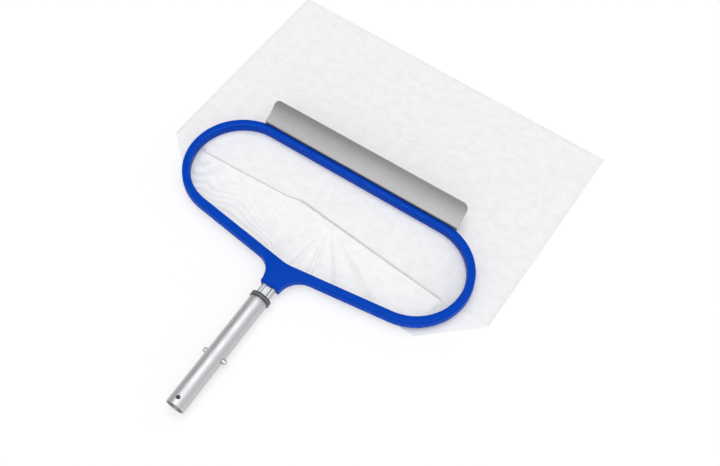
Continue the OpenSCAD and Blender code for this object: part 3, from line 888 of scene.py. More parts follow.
def blade_surface(plan):
    """The blade's line thickened and carried along X. Near the ends its reach shrinks on a circle,
    which rounds the outer corners, and its thickness on a smaller one, which softens the end edges."""
    line, chord = blade_line(plan)
    walked = np.concatenate([[0], np.cumsum(np.linalg.norm(np.diff(line, axis=0), axis=1))])
    half, corner, soft = plan.blade_length / 2, plan.blade_corner, 0.5
    turn = np.radians(np.linspace(0, 90, 14))
    ends = np.concatenate([half - corner + corner * np.sin(turn[:-1]), half - soft + soft * np.sin(turn[8:])])
    x = np.unique(np.round(np.concatenate([np.linspace(0, half - corner, 30)[:-1], ends]), 4))
    x = np.concatenate([-x[::-1][:-1], x])
    over = np.clip(np.abs(x) - (half - corner), 0, corner)
    limit = chord[-1] - corner + np.sqrt(corner**2 - over**2)
    curl_from = np.argmax(chord > 2)
    reach = np.interp(limit, chord[curl_from:], walked[curl_from:]) - plan.blade_thickness / 2
    at = reach[:, None] * (walked / walked[-1])
    path = np.stack([np.interp(at, walked, line[:, k]) for k in (0, 1)], -1)
    edge = np.clip(np.abs(x) - (half - soft), 0, soft)
    thin = plan.blade_thickness - soft + 2 * (np.sqrt(soft**2 - edge**2) - soft) + soft
    outline = ribbon_outline(path, thin[:, None, None])
    middle = outline.shape[1] // 2
    tip = round_tip(outline[:, middle - 1], outline[:, middle])
    foot = round_tip(outline[:, -1], outline[:, 0])
    outline = np.concatenate([foot[:, 3:], outline[:, :middle], tip, outline[:, middle:], foot[:, :3]], 1)
    points = np.concatenate([np.broadcast_to(x[:, None, None], (*outline.shape[:2], 1)), outline], -1)
    # painted shade: darker up the curl towards the outer edge, and a little towards the left end
    grime = smooth_step((points[..., 2] - plan.top - 2) / (points[..., 2].max() - plan.top - 2))
    grime = 0.8 * grime + 0.2 * (1 - smooth_step((points[..., 0] + half) / (1.6 * half)))
    return Surface().ribbon(points[::-1], grime=grime[::-1])


def round_tip(before, after, count=6):
    """Points of a half circle from one side of a ribbon to the other, bulging ahead."""
    middle, arm = (before + after) / 2, (before - after) / 2
    ahead = np.stack([-arm[:, 1], arm[:, 0]], -1)
    a = np.linspace(0, np.pi, count + 2)[1:-1][None, :, None]
    return middle[:, None] + arm[:, None] * np.cos(a) + ahead[:, None] * np.sin(a)


def build_scraper(plan, materials):
    """The blade, and the rivets that hold its leg to the front bar."""
    blade = stand_for(make_piece("scraper_blade", blade_surface(plan), materials["blade"]), "blade")
    face, tail = plan.leg_y + plan.blade_thickness, plan.front_y + plan.channel_out
    shank, head = 1.6, 3.0
    dome = circle_arc((face + 0.1, 0), (1.2, head), 90, 0, 8)
    profile = np.vstack(
        [[[tail - 0.9, 0], [tail - 0.9, 1.9], [tail - 0.6, 2.24], [tail, 2.24], [tail, shank],
          [face, shank], [face, head]], dome]
    )
    rivets, holes = Surface(), Surface()
    for x in rivet_places(plan):
        rivets.solid_turn(profile, 1, (x, 0, plan.rivet_z), 32)
        holes.rod(1, face - 4, face + 2, plan.rivet_hole_r, (x, 0, plan.rivet_z), 20)
    cut_out(blade, holes, 50)
    stand_for(make_piece("scraper_rivets", rivets, materials["steel"]), "fastener")


# ---------------------------------------------------------------------------------------------
# Hem and lock strips


def hem_lift(x):
    """How far the back panel is drawn up to its hem: 1 along the arms, 0 at the ends."""
    left, right, ramp = -208, 176, 30
    return smooth_step((x - left) / ramp) * smooth_step((right - x) / ramp)


def hem_outline(plan, low):
    """The hem's cloth as a ribbon: up from its lower edge, then round the bead and back to itself."""
    loop = circle_arc((plan.bead_u, plan.bead_z), plan.bead_r + 0.4, 180, -150, 28)[1:]
    rise = np.linspace(0, 1, 6)
    up = low[:, None] * (1 - rise) + plan.bead_z * rise
    z = np.concatenate([up, np.tile(loop[:, 1], (len(low), 1))], 1)
    u = np.broadcast_to(np.concatenate([np.full(len(rise), plan.hem_u), loop[:, 0]]), z.shape)
    return ribbon_outline(np.stack([u, z], -1), 0.5)


def split_mouth(plan):
    """The mouth's edge in two runs: round the arms between the ends' outermost points, and the front."""
    line, out = right_half(plan)
    widest = np.argmax(line[:, 0])
    back = mirrored(line[: widest + 1][::-1] * [-1, 1], False)
    back_out = mirrored(out[: widest + 1][::-1] * [-1, 1], False)
    front = mirrored(line[widest:], False)
    front_out = mirrored(out[widest:], False)
    return (back, back_out), (front, front_out)


def build_hem(plan, materials):
    """The bead cord round the mouth, and the hem's cloth round it in a back and a front length."""
    line, out = whole_mouth(plan)
    bead = circle_arc((plan.bead_u, plan.bead_z), plan.bead_r, 0, 345, 24)
    cord = Surface().grid(carry(bead, line, out), wrap_rows=True, wrap_columns=True)
    stand_for(make_piece("hem_cord", cord, materials["cord"]), "cord")
    (back, back_out), (front, front_out) = split_mouth(plan)
    low = plan.back_z + (plan.hem_low - plan.back_z) * hem_lift(back[:, 0])
    for name, path, directions, edge in (
        ("hem_back", back, back_out, low),
        ("hem_front", front, front_out, np.full(len(front), plan.hem_low)),
    ):
        surface = Surface().ribbon(carry(hem_outline(plan, edge), path, directions))
        stand_for(make_piece(name, surface, materials["hem"]), "net")


def strip_outline(plan):
    """A lock strip's section: a flat bar with a ridge on its outer side, anticlockwise. It starts at
    its top on the inner side, so that each point has one straight across from it."""
    low, top, inner, outer = plan.low + 0.2, plan.low + 5.6, plan.hem_u + 0.5, plan.channel_out - 0.5
    return np.array(
        [
            [inner, top - 0.3], [inner, low + 0.3], [inner + 0.3, low], [outer - 0.3, low],
            [outer, low + 0.3], [outer, low + 1.5], [outer + 0.4, low + 1.9], [outer + 0.4, low + 3.1],
            [outer, low + 3.5], [outer, top - 0.3], [outer - 0.3, top], [inner + 0.3, top],
        ]
    )


def build_lock_strips(plan, materials):
    """Strips that close the channel from below: one along the front bar, one round each side."""
    outline = strip_outline(plan)
    end_gap = 0.25
    line, out = right_half(plan)
    side = line[:, 0] >= plan.centre_x - 0.01
    side[: np.argmax(side)] = True
    line, out = line[side].copy(), out[side]
    line[0, 0] = end_gap
    reach = plan.centre_x - end_gap
    front = np.column_stack([np.linspace(reach, -reach, 60), np.full(60, plan.front_y)])
    front_out = np.tile([0.0, 1.0], (60, 1))
    runs = {
        "lock_strip_front": (front, front_out),
        "lock_strip_right": (line, out),
        "lock_strip_left": ((line * [-1, 1])[::-1], (out * [-1, 1])[::-1]),
    }
    for name, (path, directions) in runs.items():
        surface = Surface().ribbon(carry(outline, path, directions))
        stand_for(make_piece(name, surface, materials["frame"]), "frame")


# ---------------------------------------------------------------------------------------------
# Bag

# where the crease bows away from a straight line, and how far forward
CREASE_PLACES, CREASE_BOW = (-297, -238, -72, -55, 217, 297), (0, -2.8, 8.8, 13.9, -4.1, 0)

# the point of the crease that the folds fan out from, its soft folds and the lines of painted shade
# in their valleys: the bearing and the width of each in degrees, then its height or how dark the
# painted shade is
FAN_X = 6.3
SOFT_FOLDS = ((-10, 4, 0.8), (4, 4, 1.0), (25, 5, 1.0), (47, 5, 1.2), (68, 5, 0.8), (-40, 6, 0.5))
FOLD_SHADE_LINES = (
    (-4.6, 0.9, 0.26), (12.6, 0.9, 0.20), (17.4, 0.8, 0.17), (37, 2.6, 0.16), (57.5, 3.4, 0.12),
    (-30, 5, 0.05), (84, 4, 0.04),
)

# two points of the doubled mesh's edge at each end of the crease
DOUBLED_RIGHT = ((211.8, 322.3), (216.7, 348.9))
DOUBLED_LEFT = ((-227.9, 334.2), (-238.5, 363.7))


def crease_y(plan, x):
    """Y of the crease under the mouth: the fold's slanted line, bowed forward in the middle, with a
    small step there. Its corners are softened over a few millimetres."""
    shifts = (-3, -1.5, 0, 1.5, 3)
    bow = sum(np.interp(x + shift, CREASE_PLACES, CREASE_BOW) for shift in shifts) / len(shifts)
    return plan.fold_y + x * math.tan(plan.turn) + bow


def bag_columns():
    """Places across the bag's width, closer together at the ends of the crease and at its fan."""
    even = np.linspace(-1, 1, 201)
    right, left = np.linspace(0.69, 0.75, 31), np.linspace(-0.815, -0.76, 29)
    fan = np.linspace(-0.085, 0.165, 76)
    return np.unique(np.round(np.concatenate([even, right, left, fan]), 6))


def bag_point(plan, across, along):
    """A point of the laid-out bag: across its width (-1 to 1) and along its reach (0 to 1), turned."""
    across, along = np.broadcast_arrays(across, along)
    half = (plan.near_width + (plan.far_width - plan.near_width) * along) / 2 * across
    y = plan.reach * along
    c, s = math.cos(plan.turn), math.sin(plan.turn)
    return half * c - y * s, plan.fold_y + half * s + y * c, half, y


def lying(x, y, seed):
    """Small swells of cloth that lies loose: a sum of three slow waves in different directions."""
    return (
        0.16 * np.sin(x / 31 + y / 47 + seed)
        + 0.12 * np.sin(x / 19 - y / 23 + 2.1 * seed)
        + 0.08 * np.sin(x / 9.5 + y / 14 + 3.7 * seed)
    )


def tail_edge(plan, x):
    """Y of the back panel's rear edge: slanted beside the frame, and along the hem under the arms."""
    radius = plan.corner_radius + plan.hem_u + 0.3
    across = np.abs(x) - plan.centre_x
    arm = plan.centre_y + (across * plan.sin - radius) / plan.cos
    end = plan.centre_y - np.sqrt(np.maximum(radius**2 - across**2, 0))
    hem = np.where(across > radius * plan.sin, end, arm)
    half = plan.near_width / 2
    near = plan.fold_y + np.array([-half, half]) * math.sin(plan.turn)
    beside = plan.corner_radius + plan.bar_width
    left = point_round((-plan.centre_x, plan.centre_y), beside + 14, 194)
    left_in = point_round((-plan.centre_x, plan.centre_y), radius, 228)
    right = point_round((plan.centre_x, plan.centre_y), beside + 9, -59)
    right_x = plan.centre_x + radius * plan.sin
    right_y = plan.centre_y - radius * plan.cos
    left_line = np.interp(x, [-half, left[0], left_in[0]], [near[0], left[1], left_in[1]])
    right_line = np.interp(x, [right_x, right[0], half], [right_y, right[1], near[1]])
    return np.where(x < left_in[0], left_line, np.where(x > right_x, right_line, hem))


def fan_of_bumps(plan, x, y, bumps):
    """Bumps in the angle round a point of the crease, given as bearing, width and height. They grow
    with the distance from that point."""
    fan_y = crease_y(plan, FAN_X)
    bearing = np.degrees(np.arctan2(x - FAN_X, fan_y - y))
    total = sum(height * bell(bearing, middle, width) for middle, width, height in bumps)
    full_from = 60
    return total * smooth_step(np.hypot(x - FAN_X, fan_y - y) / full_from)


def back_panel_surface(plan):
    """The back panel: a level sheet from the far seam to the crease, then its tail to the hem, which
    it meets by a rise of 7 mm, with soft folds and the beat of two meshes over its left part."""
    across = bag_columns()
    far = np.linspace(1, 0, 110)[:, None]
    x, y, flat_x, flat_y = bag_point(plan, across[None, :], far)
    z = plan.back_z + 0.5 * lying(x, y, 1.0)
    start = y[-1]
    walk = np.linspace(0, 1, 56)[1:, None] ** 0.9
    ty = start + (tail_edge(plan, x[-1]) - start) * walk
    tx = np.broadcast_to(x[-1], ty.shape)
    inside = plan.hem_u + 0.3 - outward(plan, tx, ty)
    lift = hem_lift(tx) * (1 - smooth_step(inside / 30)) ** 1.4
    behind = smooth_step((crease_y(plan, tx) - ty) / 8)
    folds = plan.fold_height * fan_of_bumps(plan, tx, ty, SOFT_FOLDS) * smooth_step(inside / 14) * behind
    # painted shade in the valleys of the fanned folds
    fold_shade = fan_of_bumps(plan, tx, ty, FOLD_SHADE_LINES) * behind
    tz = plan.back_z + (plan.hem_low - plan.back_z) * lift + 0.35 + folds
    tz = tz + 0.5 * lying(tx, ty, 1.0) * smooth_step(inside / 10)
    beat, share = beat_rings(plan, tx, ty, inside)
    zero = np.zeros_like(x)
    rows = np.concatenate
    points = np.stack([rows([x, tx]), rows([y, ty]), rows([z, tz])], -1)
    tail_uv = np.broadcast_to(flat_x[-1], tx.shape)
    uv = np.stack([rows([flat_x, tail_uv]), rows([flat_y, ty - start])], -1)
    surface = Surface().grid(
        points,
        beat=rows([zero, beat]),
        beat_share=rows([zero, share]),
        shaded=rows([0.03 + seam_shade(plan, flat_x, flat_y), tail_shade(plan, tx, ty, inside) + fold_shade]),
    )
    return surface, uv.reshape(-1, 2)


def beat_rings(plan, x, y, inside):
    """Where two meshes beat against each other: an angle that turns once per ring, from the distance
    inside the hem and two slow waves, and how strong the rings are, most beside the left arm."""
    ring_width = 9.6
    height = inside + 58 * smooth_step((x + 48) / 52) + 44 * smooth_step((-186 - x) / 48)
    height = height + 9.0 * np.sin(x / 27 + y / 38 + 0.8) + 3.5 * np.sin(x / 16 - y / 24 + 1)
    left = smooth_step((14 - x) / 40) * smooth_step((x + 234) / 8)
    share = left * smooth_step((crease_y(plan, x) - y) / 16)
    return height / ring_width * 2 * np.pi, share * (0.25 + 0.75 * (1 - smooth_step(inside / 55)))


def tail_shade(plan, x, y, inside):
    """Darkening of the back panel under the mouth: doubled mesh and its sewn edge at the ends of the
    crease, and a soft shadow beside the arms."""
    under_mouth = smooth_step(inside / 3)
    right_line, left_line = (side_line_x(y, line) for line in (DOUBLED_RIGHT, DOUBLED_LEFT))
    doubled = 0.17 * smooth_step((x - right_line) / 1.2) * under_mouth
    stitch = (0.08 * bell(x, right_line, 0.9) + 0.05 * bell(x, left_line, 0.9)) * under_mouth
    shadow = 0.03 * (1 - smooth_step(inside / 34)) * hem_lift(x)
    return doubled + 0.02 * (1 - under_mouth) + stitch + shadow


def side_line_x(y, line):
    """X of the doubled mesh's edge at an end of the crease: a straight line through two points."""
    (x0, y0), (x1, y1) = line
    return x0 + (y - y0) * (x1 - x0) / (y1 - y0)


def seam_shade(plan, flat_x, flat_y):
    """Darkening along the bag's sewn edges, over the seam's width."""
    half = (plan.near_width + (plan.far_width - plan.near_width) * flat_y / plan.reach) / 2
    from_edge = np.minimum(half - np.abs(flat_x), plan.reach - flat_y)
    return 0.05 * (1 - smooth_step((from_edge - 1.5) / 3))


def crease_shade(x):
    """How dark the crease is: boldest just right of its step, weaker from there, and none past its
    two ends."""
    ends = smooth_step((x + 239) / 3) * smooth_step((218 - x) / 3)
    bold = 0.34 * smooth_step((x + 60) / 12) * (1 - 0.4 * smooth_step((x - 20) / 140))
    return ends * (0.12 + bold)


def front_panel_surface(plan):
    """The front panel: the lower layer from the far seam to the crease, half a turn about the fold,
    and the flap that rises from there to the front bar's hem."""
    across = bag_columns()
    far = np.linspace(1, 0, 110)[:, None]
    x, y, flat_x, flat_y = bag_point(plan, across[None, :], far)
    line = crease_y(plan, x[-1])
    pull = smooth_step(1 - far / 0.12) * (line - y[-1])
    y = y + pull
    cx = x[-1]
    flat = smooth_step((cx - 214) / 8) + smooth_step((-234 - cx) / 6)
    fold_r = plan.fold_r * (1 - 0.85 * flat)
    z = plan.front_z - 0.8 * flat * (1 - smooth_step((y - line) / 50)) + lying(x, y, 1.0)
    turn = np.radians(np.linspace(-90, 90, 8))[1:, None]
    fy = line - fold_r * np.cos(turn)
    fz = z[-1] + fold_r * (1 + np.sin(turn))
    fx = np.broadcast_to(cx, fy.shape)
    top_z = fz[-1]
    hem_r = plan.corner_radius + plan.hem_u
    past = np.abs(cx) - plan.centre_x
    hem_y = plan.centre_y + np.sqrt(np.maximum(hem_r**2 - np.maximum(past, 0) ** 2, 0))
    inside_frame = past < hem_r - 0.5
    reach = np.where(inside_frame, np.maximum(hem_y - line, 2.0), 2.0)
    walk = np.linspace(0, 1, 56)[1:, None] ** 1.6
    py = line + reach * walk
    px = np.broadcast_to(cx, py.shape)
    inside = plan.hem_u - outward(plan, px, py)
    plane = top_z + (plan.hem_low - top_z) * np.clip((py - line) / (plan.front_y + plan.hem_u - line), 0, 1)
    near_hem = (1 - smooth_step(inside / 20)) * inside_frame * smooth_step((py - line) / (0.6 * reach))
    pz = plane + (plan.hem_low - plane) * near_hem
    pz = pz + 1.5 * lying(px, py, 2.0) * smooth_step(inside / 12) * smooth_step((py - line) / 12)
    crease = crease_shade(cx)
    # painted shade: the flap darker towards its right end
    right_end_shade = 0.05 * smooth_step((px - 130) / 90)
    rows = np.concatenate
    uv_x = np.broadcast_to(flat_x[-1], (len(fy) + len(py), len(cx)))
    uv_y = rows([np.zeros(fy.shape), line - py])
    dark = rows(
        [
            0.02 + seam_shade(plan, flat_x, flat_y),
            crease * bell(np.degrees(turn), 30, 60),
            right_end_shade + crease * bell(py - line, 0, 2.2),
        ]
    )
    points = np.stack([rows([x, fx, px]), rows([y, fy, py]), rows([z, fz, pz])], -1)
    uv = np.stack([rows([flat_x, uv_x]), rows([flat_y, uv_y])], -1)
    surface = Surface().grid(points[::-1], beat=0.0, beat_share=0.0, shaded=dark[::-1])
    return surface, uv[::-1].reshape(-1, 2)


def stitch_row(start, stop, spacing=3.2, long=2.2, thick=0.45):
    """A row of stitches from start to stop: small flattened eight-sided beads, end to end, each
    closed at both ends."""
    start, stop = np.asarray(start, float), np.asarray(stop, float)
    span = np.linalg.norm(stop - start)
    along = (stop - start) / span
    count = int(span / spacing)
    side = np.array([-along[1], along[0], 0])
    up = np.array([0, 0, 1.0])
    a = np.linspace(0, 2 * np.pi, 8, endpoint=False)
    ring = np.cos(a)[:, None] * side + 0.6 * np.sin(a)[:, None] * up
    profile = np.array([[-0.5, 0.3], [-0.36, 0.75], [0.0, 1.0], [0.36, 0.75], [0.5, 0.3]])
    bead = profile[:, :1, None] * long * along + profile[:, 1:, None] * thick / 2 * ring[None]
    bead = bead.reshape(-1, 3)
    centres = start + along * (np.arange(count)[:, None] + 0.5) * spacing
    points = (centres[:, None] + bead[None]).reshape(-1, 3)
    first = np.arange(count)[:, None] * len(bead)
    round_about = grid_faces(len(profile), 8, wrap_columns=True)[:, ::-1]
    faces = list((round_about[None] + first[..., None]).reshape(-1, 4))
    faces += [*(first + np.arange(8)[::-1]), *(first + len(bead) - 8 + np.arange(8))]
    return points, faces


def seam_surface(plan, corners, stitches):
    """A sewn edge: a narrow tape over the front panel's edge, and a row of stitches along it."""
    (a, b), (c, d) = corners
    steps = np.linspace(0, 1, 60)[:, None, None]
    outer, inner = np.array([a, b]), np.array([c, d])
    width = np.linspace(0, 1, 5)[None, :, None]
    edge = outer[0] + (outer[1] - outer[0]) * steps
    other = inner[0] + (inner[1] - inner[0]) * steps
    flat = edge + (other - edge) * width
    level = plan.front_z - 0.55 + 0.25 * lying(flat[..., :1], flat[..., 1:], 1.0)
    top = np.concatenate([flat, level], -1)
    below = np.concatenate([flat, level - 0.25], -1)[:, ::-1]
    ring = np.concatenate([top, below], 1)
    surface = Surface().ribbon(ring)
    thread_z = plan.front_z + 0.25
    for start, stop in stitches:
        surface.add(*stitch_row((*start, thread_z), (*stop, thread_z)))
    return surface


def bag_corner(plan, across, along, inset_x=0.0, inset_y=0.0):
    """A corner of the bag moved in by a seam's width."""
    x, y, _, _ = bag_point(
        plan,
        across * (1 - 2 * inset_x / plan.near_width),
        along - math.copysign(inset_y, along - 0.5) / plan.reach,
    )
    return np.array([float(x), float(y)])


def build_bag(plan, materials):
    """Both panels and the sewn edges between them."""
    mesh, hem = materials["mesh"], materials["hem"]
    surface, uv = back_panel_surface(plan)
    back = stand_for(make_piece("back_panel", surface, mesh, flat_uv=uv, sharp=60), "net")
    surface, uv = front_panel_surface(plan)
    front = stand_for(make_piece("front_panel", surface, mesh, flat_uv=uv, sharp=60), "net")
    w, edge, stitch_insets = plan.seam_width, 0.3, (2.0, 4.0)
    for name, side in (("side_seam_left", -1), ("side_seam_right", 1)):
        corners = (
            (bag_corner(plan, side, 0, edge), bag_corner(plan, side, 1, edge, w)),
            (bag_corner(plan, side, 0, w), bag_corner(plan, side, 1, w, w)),
        )
        stitches = [
            (bag_corner(plan, side, 0, inset), bag_corner(plan, side, 1, inset, 2))
            for inset in stitch_insets
        ]
        surface = seam_surface(plan, corners[::side], stitches)
        stand_for(make_piece(name, surface, hem), "net")
    corners = (
        (bag_corner(plan, -1, 1, edge, w), bag_corner(plan, 1, 1, edge, w)),
        (bag_corner(plan, -1, 1, edge, edge), bag_corner(plan, 1, 1, edge, edge)),
    )
    stitches = [
        (bag_corner(plan, -1, 1, 2, inset), bag_corner(plan, 1, 1, 2, inset)) for inset in stitch_insets
    ]
    stand_for(make_piece("end_seam", seam_surface(plan, corners, stitches), hem), "net")
    bpy.data.objects["hem_front" + VISIBLE]
    bpy.data.objects["hem_back" + VISIBLE]


# ---------------------------------------------------------------------------------------------
# Handle


def build_screws(name, places, under, length_up, material):
    """Pan-head screws that point up, at places along the handle: a rounded head below its seat, a
    shank with rolled thread rings and a point, and a cross slot."""
    shank, head, tall, pitch, slot_depth = 1.45, 3.0, 2.0, 0.8, 1.1
    low = under - tall
    thread = []
    for k in range(int((length_up - 3) / pitch)):
        at = under + 0.6 + k * pitch
        thread += [(at, shank - 0.28), (at + pitch / 2, shank)]
    profile = [(low, 0), (low, head * 0.75), (low + 0.2, head * 0.92), (low + 0.6, head),
               (under - 0.1, head), (under, head - 0.1), (under, shank), *thread,
               (under + length_up - 2, shank - 0.2), (under + length_up, 0)]
    arm = np.array([[1.7, -0.4], [1.7, 0.4], [0.4, 0.4]])
    quarter = np.array([[0, 1], [-1, 0]])
    cross = np.vstack([arm @ np.linalg.matrix_power(quarter, k) for k in range(4)])
    screws, slots = Surface(), Surface()
    for y in places:
        screws.solid_turn(profile, 2, (0, y, 0), 32)
        slots.prism(cross + [0, y], 2, low - 0.5, low + slot_depth)
    stand_for(cut_out(make_piece(name, screws, material), slots), "fastener")


def build_stem(plan, materials):
    """The extruded stem with its screws and the plug's screw."""
    start, stop = plan.collar_end - plan.stem_in_plug, plan.neck_end + plan.stem_in_neck
    stem = Surface().prism(stem_outline(plan), 1, start, stop, 0.25)
    piece = make_piece("stem", stem, materials["aluminium"], sharp=40)
    holes = Surface()
    for y in (*plan.stem_screw_places, plan.plug_screw_place):
        holes.rod(2, -6, 6, plan.screw_hole_r, (0, y, 0), 24)
    stand_for(cut_out(piece, holes, 40), "aluminium")
    steel = materials["steel"]
    up = plan.top - 2 + plan.web / 2 - 1.4
    build_screws("stem_screws", plan.stem_screw_places, plan.low + 2.2, up, steel)
    build_screws("plug_screw", [plan.plug_screw_place], -plan.tube_r - 0.05, plan.tube_r + 1.5, steel)


def build_plug(plan, materials):
    """The plug with its grooved collar, turned about the handle's axis, and the ring in the groove."""
    r, end, start = plan.collar_r, plan.collar_end, plan.tube_length
    groove = (start + end) / 2
    half, deep, slip, tail = 1.2, r - 2.1, plan.bore_r - 0.1, start - plan.plug_depth
    profile = [
        (tail, 0), (tail, slip - 0.8), (tail + 0.8, slip),
        (start, slip), (start, r - 0.6), (start + 0.18, r - 0.18), (start + 0.6, r),
        (groove - half - 0.15, r), (groove - half, r - 0.15), (groove - half, deep + 0.3),
        (groove - half + 0.3, deep), (groove + half - 0.3, deep), (groove + half, deep + 0.3),
        (groove + half, r - 0.15), (groove + half + 0.15, r), (end - 0.6, r), (end - 0.18, r - 0.18),
        (end, r - 0.6), (end, 0),
    ]
    piece = make_piece("tube_plug", Surface().solid_turn(profile, 1, segments=128), materials["plug"])
    socket = stem_outline(plan, plan.socket_gap, 6)
    cutter = Surface().prism(socket, 1, end - plan.stem_in_plug - 1, end + 2)
    cutter.rod(2, -plan.tube_r, 0, plan.screw_hole_r, (0, plan.plug_screw_place, 0), 24)
    stand_for(cut_out(piece, cutter), "plug")
    ring = circle_arc((groove, r - 1.1), 1.0, 0, 345, 24)[::-1]
    points = turn_points(ring, 1, (0, 0, 0), 128)
    surface = Surface().grid(points, wrap_rows=True, wrap_columns=True)
    stand_for(make_piece("collar_ring", surface, materials["ring"]), "ring")


def build_tube(plan, materials):
    """The tube, turned about the handle's axis, with its button holes, end hole and screw hole."""
    outer, inner, end = plan.tube_r, plan.bore_r, plan.tube_length
    out_y = np.linspace(0.35, end - 0.35, 24)
    profile = [(0.0, inner + 0.25), (0.0, outer - 0.35), (0.1, outer - 0.1), *((y, outer) for y in out_y),
               (end - 0.1, outer - 0.1), (end, outer - 0.35), (end, inner + 0.25), (end - 0.25, inner),
               (0.25, inner)]
    points = turn_points(profile, 1, (0, 0, 0), 160)
    surface = Surface().grid(points, wrap_rows=True, wrap_columns=True)
    piece = make_piece("handle_tube", surface, materials["aluminium"], sharp=30)
    cutter = Surface()
    past = 20
    cutter.rod(0, -past, past, plan.button_diameter / 2 + 0.3, (0, plan.button_place, 0), 64)
    cutter.rod(2, -past, past, plan.end_hole / 2, (0, plan.end_hole_place, 0), 48)
    cutter.rod(2, -past, -8, plan.screw_hole_r + 0.1, (0, plan.plug_screw_place, 0), 32)
    stand_for(cut_out(piece, cutter, 30), "aluminium")


def spring_half(plan, side):
    """Half of the spring: its strip follows a quarter bend, a slanting leg and a straight landing."""
    bend_y, bend_r = plan.spring_bend_y, plan.spring_bend_r
    knee = np.array([plan.landing_x, plan.landing_near])
    drop = bend_y - knee[1]
    slant = math.atan2(knee[0], drop) - math.asin(bend_r / math.hypot(knee[0], drop))
    bend = circle_arc((0, bend_y), bend_r, 90, math.degrees(slant), 14)
    leg = bend[-1] + (knee - bend[-1]) * np.linspace(0, 1, 16)[1:, None]
    landing = np.linspace(knee, [knee[0], plan.landing_far], 9)[1:]
    line = np.vstack([bend, leg, landing]) * [side, 1]
    outline = ribbon_outline(line, plan.spring_strip)
    middle = np.concatenate([line, line[::-1]])
    edge = middle + (outline - middle) * 0.6
    rings = zip((edge, outline, outline, edge), (-4.5, -4.2, 4.2, 4.5))
    points = np.stack([np.column_stack([ring, np.full(len(ring), height)]) for ring, height in rings])
    surface = Surface().ribbon(points)
    surface.faces = [face[::-1] for face in surface.faces]
    return surface


def build_spring(plan, materials):
    """Both halves of the spring. Each bends between the tube and its button."""
    for side, name in ((-1, "left"), (1, "right")):
        piece = make_piece(f"v_spring_{name}", spring_half(plan, side), materials["steel"], body=None)
        side * plan.landing_x * MM
        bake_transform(piece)
        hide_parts("v_spring")


def build_buttons(plan, materials):
    """The two snap buttons: a flange inside the tube, a shank and a domed tip, turned about X."""
    r, inner, tall = plan.button_diameter / 2, plan.flange_in, 2.1
    tip = plan.tube_r + plan.button_stand
    dome = circle_arc((tip - tall, 0), (tall, r), 90, 0, 14)
    profile = np.vstack(
        [
            [[inner, 0], [inner, 4.6], [inner + 0.15, 4.8], [inner + 0.85, 4.8], [inner + 1, 4.65],
             [inner + 1, r + 0.1], [inner + 1.1, r]],
            dome,
        ]
    )
    for side, name in ((1, "right"), (-1, "left")):
        surface = Surface().solid_turn(profile, 0, (0, plan.button_place, 0), 64)
        if side < 0:
            surface.points = [points * [-1, 1, 1] for points in surface.points]
            surface.faces = [face[::-1] for face in surface.faces]
        piece = make_piece(f"snap_button_{name}", surface, materials["button"], f"button_{name}")
        stand_for(piece, "button")


# ---------------------------------------------------------------------------------------------
# Studio


def build_floor(plan, materials):
    """A wide level floor just under the bag."""
    z, reach = plan.ground - 0.05, 20000
    corners = [(-reach, -reach, z), (reach, -reach, z), (reach, reach, z), (-reach, reach, z)]
    floor = make_piece("floor", Surface().add(corners, [(0, 1, 2, 3)]), materials["floor"], body=None)


def build_world():
    """A soft sky, brightest in a band overhead along the handle that fades beyond the bag, greyer
    to the right and dark to the left, with a pale haze at the horizon."""
    world = bpy.data.worlds.new("studio")
    world.use_nodes = True
    tree = world.node_tree
    tree.nodes.clear()
    up = add(tree, "ShaderNodeTexCoord").outputs["Generated"]
    split = add(tree, "ShaderNodeSeparateXYZ", {0: up})
    band = between(tree, worked(tree, "ABSOLUTE", split.outputs[0], 0.0), 0.92, 0.10)
    band = worked(tree, "MULTIPLY", band, between(tree, split.outputs[1], 1.0, 0.15, 0.5, 0.95))
    lit = worked(tree, "ADD", band, between(tree, split.outputs[1], 0.12, 0.0, -1.0, 1.0))
    lit = worked(tree, "ADD", lit, between(tree, split.outputs[0], 0.0, 0.46, 0.0, 0.7))
    lit = worked(tree, "MAXIMUM", lit, between(tree, split.outputs[2], 0.96, 0.0, 0.07, 0.22))
    sky = add(tree, "ShaderNodeBackground", {"Color": (1, 1, 1, 1), "Strength": lit})
    add(tree, "ShaderNodeOutputWorld", {"Surface": sky.outputs[0]})
    bpy.context.scene.world = world


def build_lamp():
    """A broad, distant soft light from almost straight above."""
    from_above = Vector((-0.06, 0.06, 1.0))
    lamp = bpy.data.lights.new("soft light", "SUN")
    lamp.energy, lamp.angle = 1.03, math.radians(50)
    holder = bpy.data.objects.new("soft light", lamp)
    holder.matrix_world = from_above.to_track_quat("Z", "Y").to_matrix().to_4x4()
    bpy.context.scene.collection.objects.link(holder)


def build_camera():
    """A camera high behind the handle's right, looking down on the frame. Its angles in degrees are
    its tilt up from straight down, its roll and its heading."""
    place, angles = (0.37554, -0.21633, 1.13849), (30.224219, -2.633722, 32.823241)
    data = bpy.data.cameras.new("camera")
    data.lens, data.sensor_width, data.sensor_fit = 43.304, 36, "HORIZONTAL"
    data.clip_start, data.clip_end = 0.01, 50
    camera = bpy.data.objects.new("camera", data)
    turned = Euler([math.radians(a) for a in angles])
    camera.matrix_world = Matrix.LocRotScale(Vector(place), turned, None)
    bpy.context.scene.collection.objects.link(camera)
    bpy.context.scene.camera = camera


